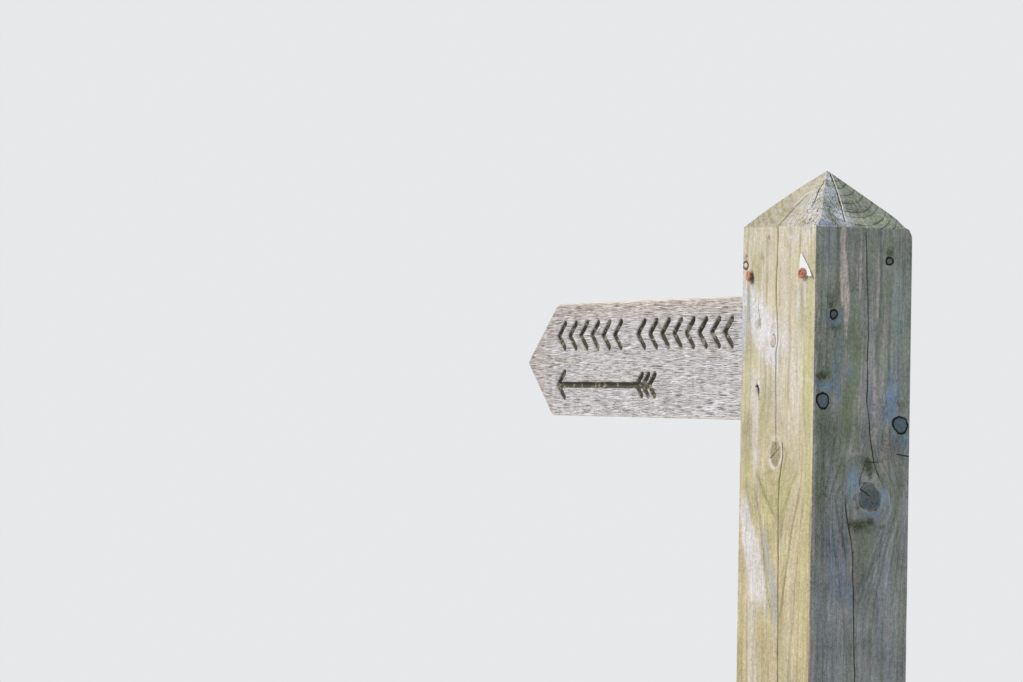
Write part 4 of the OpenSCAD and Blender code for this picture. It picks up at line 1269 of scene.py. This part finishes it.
# %% The finger's mesh
def panel(heights, side):
    """One broad face of the board: X, Y and Z for each column, and how deep it is routed."""
    share = (heights - LOW_Z) / (TOP_Z - LOW_Z)
    x = np.repeat(xs[:, None], len(share), axis=1)
    z = low[:, None] + edge + ((top - low)[:, None] - 2 * edge) * share
    away, step = mark_distance(x, z), 0.2
    gx = (mark_distance(x + step, z) - mark_distance(x - step, z)) / (2 * step)
    gz = (mark_distance(x, z + step) - mark_distance(x, z - step)) / (2 * step)
    pull = (1 - ease(np.abs(away), 0.42, 0.62)) * (side < 0) * ease(x, -452, -440)
    x, z = x - away * gx * pull, z - away * gz * pull
    away = np.where(pull > 0.99, 0, mark_distance(x, z))
    depth = np.sqrt(1 - np.clip(1 + away / MARK_R, 0, 1) ** 2)
    rough = 0.14 * (1 + wander(z / 1.9, x / 16, 93)) + 0.12 * (1 + wander(z / 7, x / 60, 94))
    rough = rough + 0.15 * ease(z, TOP_Z - 26, TOP_Z) * (1 + wander(z / 2.4, x / 30, 95))
    return x, side * (FINGER_Y - MARK_DEPTH * depth - rough * ease(edge, 0, 1.5)), z, depth


def edging(z_edge, upward):
    """The rounded long edge from one broad face, over the board's narrow face, to the other."""
    turns = np.radians([22, 45, 68, 90])
    ys = [edge * (1 - math.cos(a)) - FINGER_Y for a in turns]
    ys += [0 * edge + share * FINGER_Y for share in (-0.5, 0, 0.5)] + [-y for y in ys[::-1]]
    zs = [z_edge[:, None] - upward * (edge * (1 - math.sin(a)) + worn * math.sin(a) * (edge / EASED))
          for a in turns]
    flat = [zs[-1] - upward * 0.15 * (1 + wander(xs / 9, i, 96)[:, None]) for i in range(3)]
    y, z = upward * np.hstack(ys), np.hstack(zs + flat + zs[::-1])
    return xs[:, None] + 0 * y, y, z, 0 * y


parts = [panel(front_z, -1), edging(top, 1), panel(back_z, 1), edging(low, -1)]
fx, fy, fz, routed = (np.hstack(of_each_part) for of_each_part in zip(*parts))
sections, loop = fx.shape
tan = np.maximum(ease(fz, 1624, 1647), 0.6 * ease(-fx, 400, 455))
tan = np.maximum(tan, 0.25 * ease(wander(fz / 9, fx / 70, 97), 0.3, 0.8))
sawn = (fx < -404) & (np.abs(np.abs(fy) - FINGER_Y) > 1.2)
# lit_edge is a painted highlight along the board's top and bottom rounded edges.
lit_edge = np.maximum(ease(fz - top[:, None], -2.6, -0.9), 0.7 * ease(low[:, None] - fz, -2.2, -0.8))
finger_notes = dict(routed=routed, tan=tan, edge=lit_edge, sawn=sawn.astype(float),
                    fibre=fz + 0.8 * wander(fx / 45, fz / 20, 98))
points = np.stack([fx, fy, fz], axis=2).reshape(-1, 3)
board = corners(tube_numbers(sections, loop).T).tolist()
board += [list(range(loop)), list(range(len(points) - loop, len(points)))[::-1]]
corner = np.concatenate(board)
finger = plain_piece("finger_board", points, board,
                     {name: note.ravel()[corner] for name, note in finger_notes.items()})
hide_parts("finger")
print("finger:", len(points), "points,", sum(len(f) - 2 for f in board), "triangles")

# %% [markdown]
# ## Silvered oak
# Old oak turns silver-grey and its pores open into short dark flecks, all along the grain. The same
# streak group draws them, with the board's length as the fibre's direction. The marks' dark paint
# has chipped in places.

# %% The finger's finish
finger_wood = new_finish("silvered_oak", Specular_IOR_Level=0.25)
axes = put("SeparateXYZ", {0: plan}, out=None)
fibre, height = total(stored("fibre"), product(axes["Y"], 0.9)), axes["X"]
fine, tan, routed, dust = streak(0.9, 24, 2, 45), stored("tan"), stored("routed"), noise(0.9)
flecks = between(streak(0.55, 17.0, 1, 49), 0.57, 0.61)
dots = between(streak(0.45, 8.0, 1, 50), 0.59, 0.63)
pores = between(streak(0.65, 42.0, 2, 53), 0.55, 0.60)
lines = between(streak(1.0, 170.0, 2, 57), 0.55, 0.62)

colour = mixed(between(streak(7, 90, 2, 41), 0.38, 0.62), (0.60, 0.585, 0.615), (0.495, 0.475, 0.485))
colour = laid(colour, product(tan, between(fine, 0.3, 0.6, 0.45, 0.95)), (0.565, 0.475, 0.41))
colour = laid(colour, between(height, -396, -416, 0, 0.4), (0.41, 0.355, 0.31))
colour = laid(colour, product(pores, 0.65), mixed(tan, (0.27, 0.25, 0.24), (0.26, 0.18, 0.12)))
colour = laid(colour, product(lines, product(tan, 0.8)), (0.15, 0.10, 0.07))
colour = laid(colour, product(flecks, 0.9), (0.12, 0.105, 0.10))
colour = laid(colour, product(dots, 0.8), (0.12, 0.105, 0.10))
colour = laid(colour, between(streak(0.5, 16.0, 1, 59), 0.57, 0.65, 0, 0.75), (0.85, 0.83, 0.84))
colour = laid(colour, product(stored("sawn"), 0.6), (0.36, 0.31, 0.27))
# A painted highlight along the top and bottom edges.
colour = laid(colour, product(stored("edge"), 0.8), (0.74, 0.70, 0.62))
speckle = product(streak(0.45, 20.0, 1, 65), 0.9)
colour = tinted(colour, grey(total(product(fine, 0.65), product(dust, 0.3), speckle, 0.06)))

paint = between(total(routed, swing(dust, 0.5)), 0.27, 0.42)
colour = laid(colour, between(routed, 0.02, 0.2, 0, 0.35), (0.30, 0.25, 0.19))
colour = laid(colour, paint, mixed(fine, (0.052, 0.048, 0.038), (0.094, 0.086, 0.066)))
chips = product(between(noise(0.16, 3, 0.65), 0.54, 0.58, 0, 0.75), paint)
colour = laid(colour, chips, (0.36, 0.325, 0.24))
close_finish(colour, between(dust, 0.2, 0.8, 0.78, 0.94),
             total(product(fine, 0.6), product(flecks, -0.6), product(dust, 0.3)))
finger.data.materials.append(finger_wood)
print("finger finish:", len(tree.nodes), "nodes")

# %% [markdown]
# ## Nails
# A nail is a turned shape, so it is made by turning a profile round its axis. Rust eats the rim of
# a head unevenly, and a little wander in the radius shows that.

# %% Nails
def turned_piece(name, profile, base, axis, around, rough, seed):
    """Turns a profile of (radius, height) pairs round an axis that starts at base."""
    axis = np.array(axis, float) / np.linalg.norm(axis)
    side = np.cross(axis, (0, 0, 1.0))
    side /= np.linalg.norm(side)
    other = np.cross(axis, side)
    angle = np.arange(around) * 2 * math.pi / around
    points = []
    for n, (r, h) in enumerate(profile):
        radius = r * (1 + rough * wander(angle * 1.6, n / 3, seed) * np.minimum(1, r / 2))
        lift = h + 0.3 * rough * wander(angle * 2, n, seed + 1)
        points += (base + np.outer(radius * np.cos(angle), side) + np.outer(radius * np.sin(angle), other)
                   + np.outer(lift, axis)).tolist()
    numbers = tube_numbers(len(profile), around)
    ends = [numbers[0, :-1][::-1].tolist(), numbers[-1, :-1].tolist()]
    return plain_piece(name, points, corners(numbers).tolist() + ends)


def nail_profile(shank_r, head_r, head_t, length, dimple):
    """A pointed shank, and a head that bulges and may have a dimple in its middle."""
    shank = [(0.25, -length), (0.8, -length + 3.5), (1, -length + 5), (1, -0.4), (1.15, 0)]
    rim = [(0.93, 0.02), (0.99, 0.14), (1, head_t * 0.3)]
    dome = [(0.97, 0.52), (0.86, 0.78), (0.72, 0.92), (0.60, 1.0), (0.52, 0.98 - dimple * 0.5),
            (0.42, 0.98 - dimple), (0.33, 0.98 - dimple * 0.7), (0.24, 0.96), (0.1, 1.0 - dimple * 0.1),
            (0.02 / head_r, 1.0 - dimple * 0.1)]
    return ([(shank_r * r, h) for r, h in shank] + [(head_r * r, h) for r, h in rim]
            + [(head_r * r, head_t * h) for r, h in dome])


DISC_X, DISC_Z = 34.75, 1661.0
disc_nails, punched = [], []
for name, x, stand, lean, dimple in (("disc_nail_left", -38.75, 1.6, -14, 0.1),
                                     ("disc_nail_right", DISC_X, 1.86, 12, 0.55)):
    facing = np.array([math.sin(math.radians(lean)), -math.cos(math.radians(lean)), 0])
    nail = turned_piece(name + "_rusty", nail_profile(1.45, 4.35, 1.5, 38, dimple),
                        np.array([x, -HALF, DISC_Z]) + stand * facing, facing, 48, 0.05, 101)
    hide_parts(name)
    disc_nails.append(nail)
for name, z in (("finger_nail_upper", 1623.5), ("finger_nail_lower", 1564.0)):
    nail = turned_piece(name + "_punched", nail_profile(1.65, 2.25, 1.5, 75, 0.3),
                        np.array([-27, -45.95, z]), (0, -1, 0), 32, 0.03, 103)
    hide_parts(name)
    punched.append(nail)
print("nails:", [nail.name for nail in disc_nails + punched])

# %% [markdown]
# Rust is never one brown: coarse blotches carry a dark grit and a few fresh orange grains. The
# punched nails were driven below the wood, out of the rain, so they stayed dark steel.

# %% Rust and dark steel
rust = new_finish("rust", Specular_IOR_Level=0.3)
grit = noise(2.2, 3, 0.65)
colour = mixed(between(noise(0.45, 3), 0.35, 0.65), (0.50, 0.23, 0.14), (0.36, 0.15, 0.095))
colour = laid(colour, between(grit, 0.55, 0.75, 0, 0.7), (0.16, 0.065, 0.04))
colour = laid(colour, between(grit, 0.45, 0.25, 0, 0.5), (0.52, 0.26, 0.15))
close_finish(colour, between(grit, 0.3, 0.7, 0.6, 0.85), grit, 0.6, 0.0003)

dark_steel = new_finish("dark_steel", Metallic=0.4)
grit = noise(1.2, 3)
close_finish(mixed(between(grit, 0.4, 0.65), (0.07, 0.06, 0.055), (0.13, 0.075, 0.05)),
             between(grit, 0.3, 0.7, 0.5, 0.8))
for nail in disc_nails + punched:
    nail.data.materials.append(rust if nail in disc_nails else dark_steel)
print("nail finishes:", rust.name, "and", dark_steel.name)

# %% [markdown]
# ## The torn disc
# Only a corner of the plastic disc is left under the right nail. It is a thin sheet, so it is
# modelled with its true thickness: a front and a back skin that share the torn outline. The free
# corner has curled away from the wood.

# %% The remnant
outline = np.array([
    (31.6, 1677.6), (33.2, 1676.2), (35.4, 1673.4), (37.7, 1670.4), (40.0, 1667.6), (42.4, 1664.3),
    (45.2, 1661.3), (47.0, 1659.4), (47.3, 1658.6), (46.6, 1658.0), (45.0, 1658.0), (42.4, 1658.6),
    (39.4, 1659.4), (37.2, 1658.4), (34.5, 1658.0), (31.5, 1658.4), (29.7, 1660.4), (29.3, 1663.5),
    (29.7, 1667.2), (30.2, 1671.5), (31.0, 1675.2), (31.6, 1677.6)])
HOLE_R, SHEET_Y, THICK = 2.1, -50.02, 0.75
steps = np.arange((len(outline) - 1) * 5) / 5
edge_x, edge_z = (np.interp(steps, np.arange(len(outline)), places) for places in outline.T)
turn = np.arctan2(edge_z - DISC_Z, edge_x - DISC_X)
inner_x, inner_z = DISC_X + HOLE_R * np.cos(turn), DISC_Z + HOLE_R * np.sin(turn)
share = np.linspace(0, 1, 12)[:, None]
sheet_x, sheet_z = inner_x + (edge_x - inner_x) * share, inner_z + (edge_z - inner_z) * share
curl = 1.3 * ease(sheet_x - 0.55 * (sheet_z - DISC_Z), 38, 49) ** 1.5 + 0.4 * ease(sheet_z, 1668, 1678)
curl = curl + 0.05 + 0.06 * (1 + wander(sheet_x / 3, sheet_z / 3, 105))
front, back = (np.stack([sheet_x, y, sheet_z], axis=2) for y in (SHEET_Y - curl - THICK, SHEET_Y - curl))
# From the hole's rim out over the front, and back again behind: a closed ring of rows
sheet = np.concatenate([front, back[::-1]])
remnant = plain_piece("torn_disc", sheet.reshape(-1, 3),
                      corners(tube_numbers(*sheet.shape[:2], closed_rows=1)).tolist())
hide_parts("disc_remnant")

plastic = new_finish("white_plastic", Roughness=0.45)
dirt = noise(0.35, 4)
close_finish(mixed(between(dirt, 0.45, 0.75, 0, 0.5), (0.745, 0.76, 0.80), (0.60, 0.59, 0.56)),
             relief=dirt, strength=0.2, depth=0.0003)
remnant.data.materials.append(plastic)
print("remnant:", len(remnant.data.vertices), "points")

# %% [markdown]
# The box round the dressed model is measured.

low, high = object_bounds()
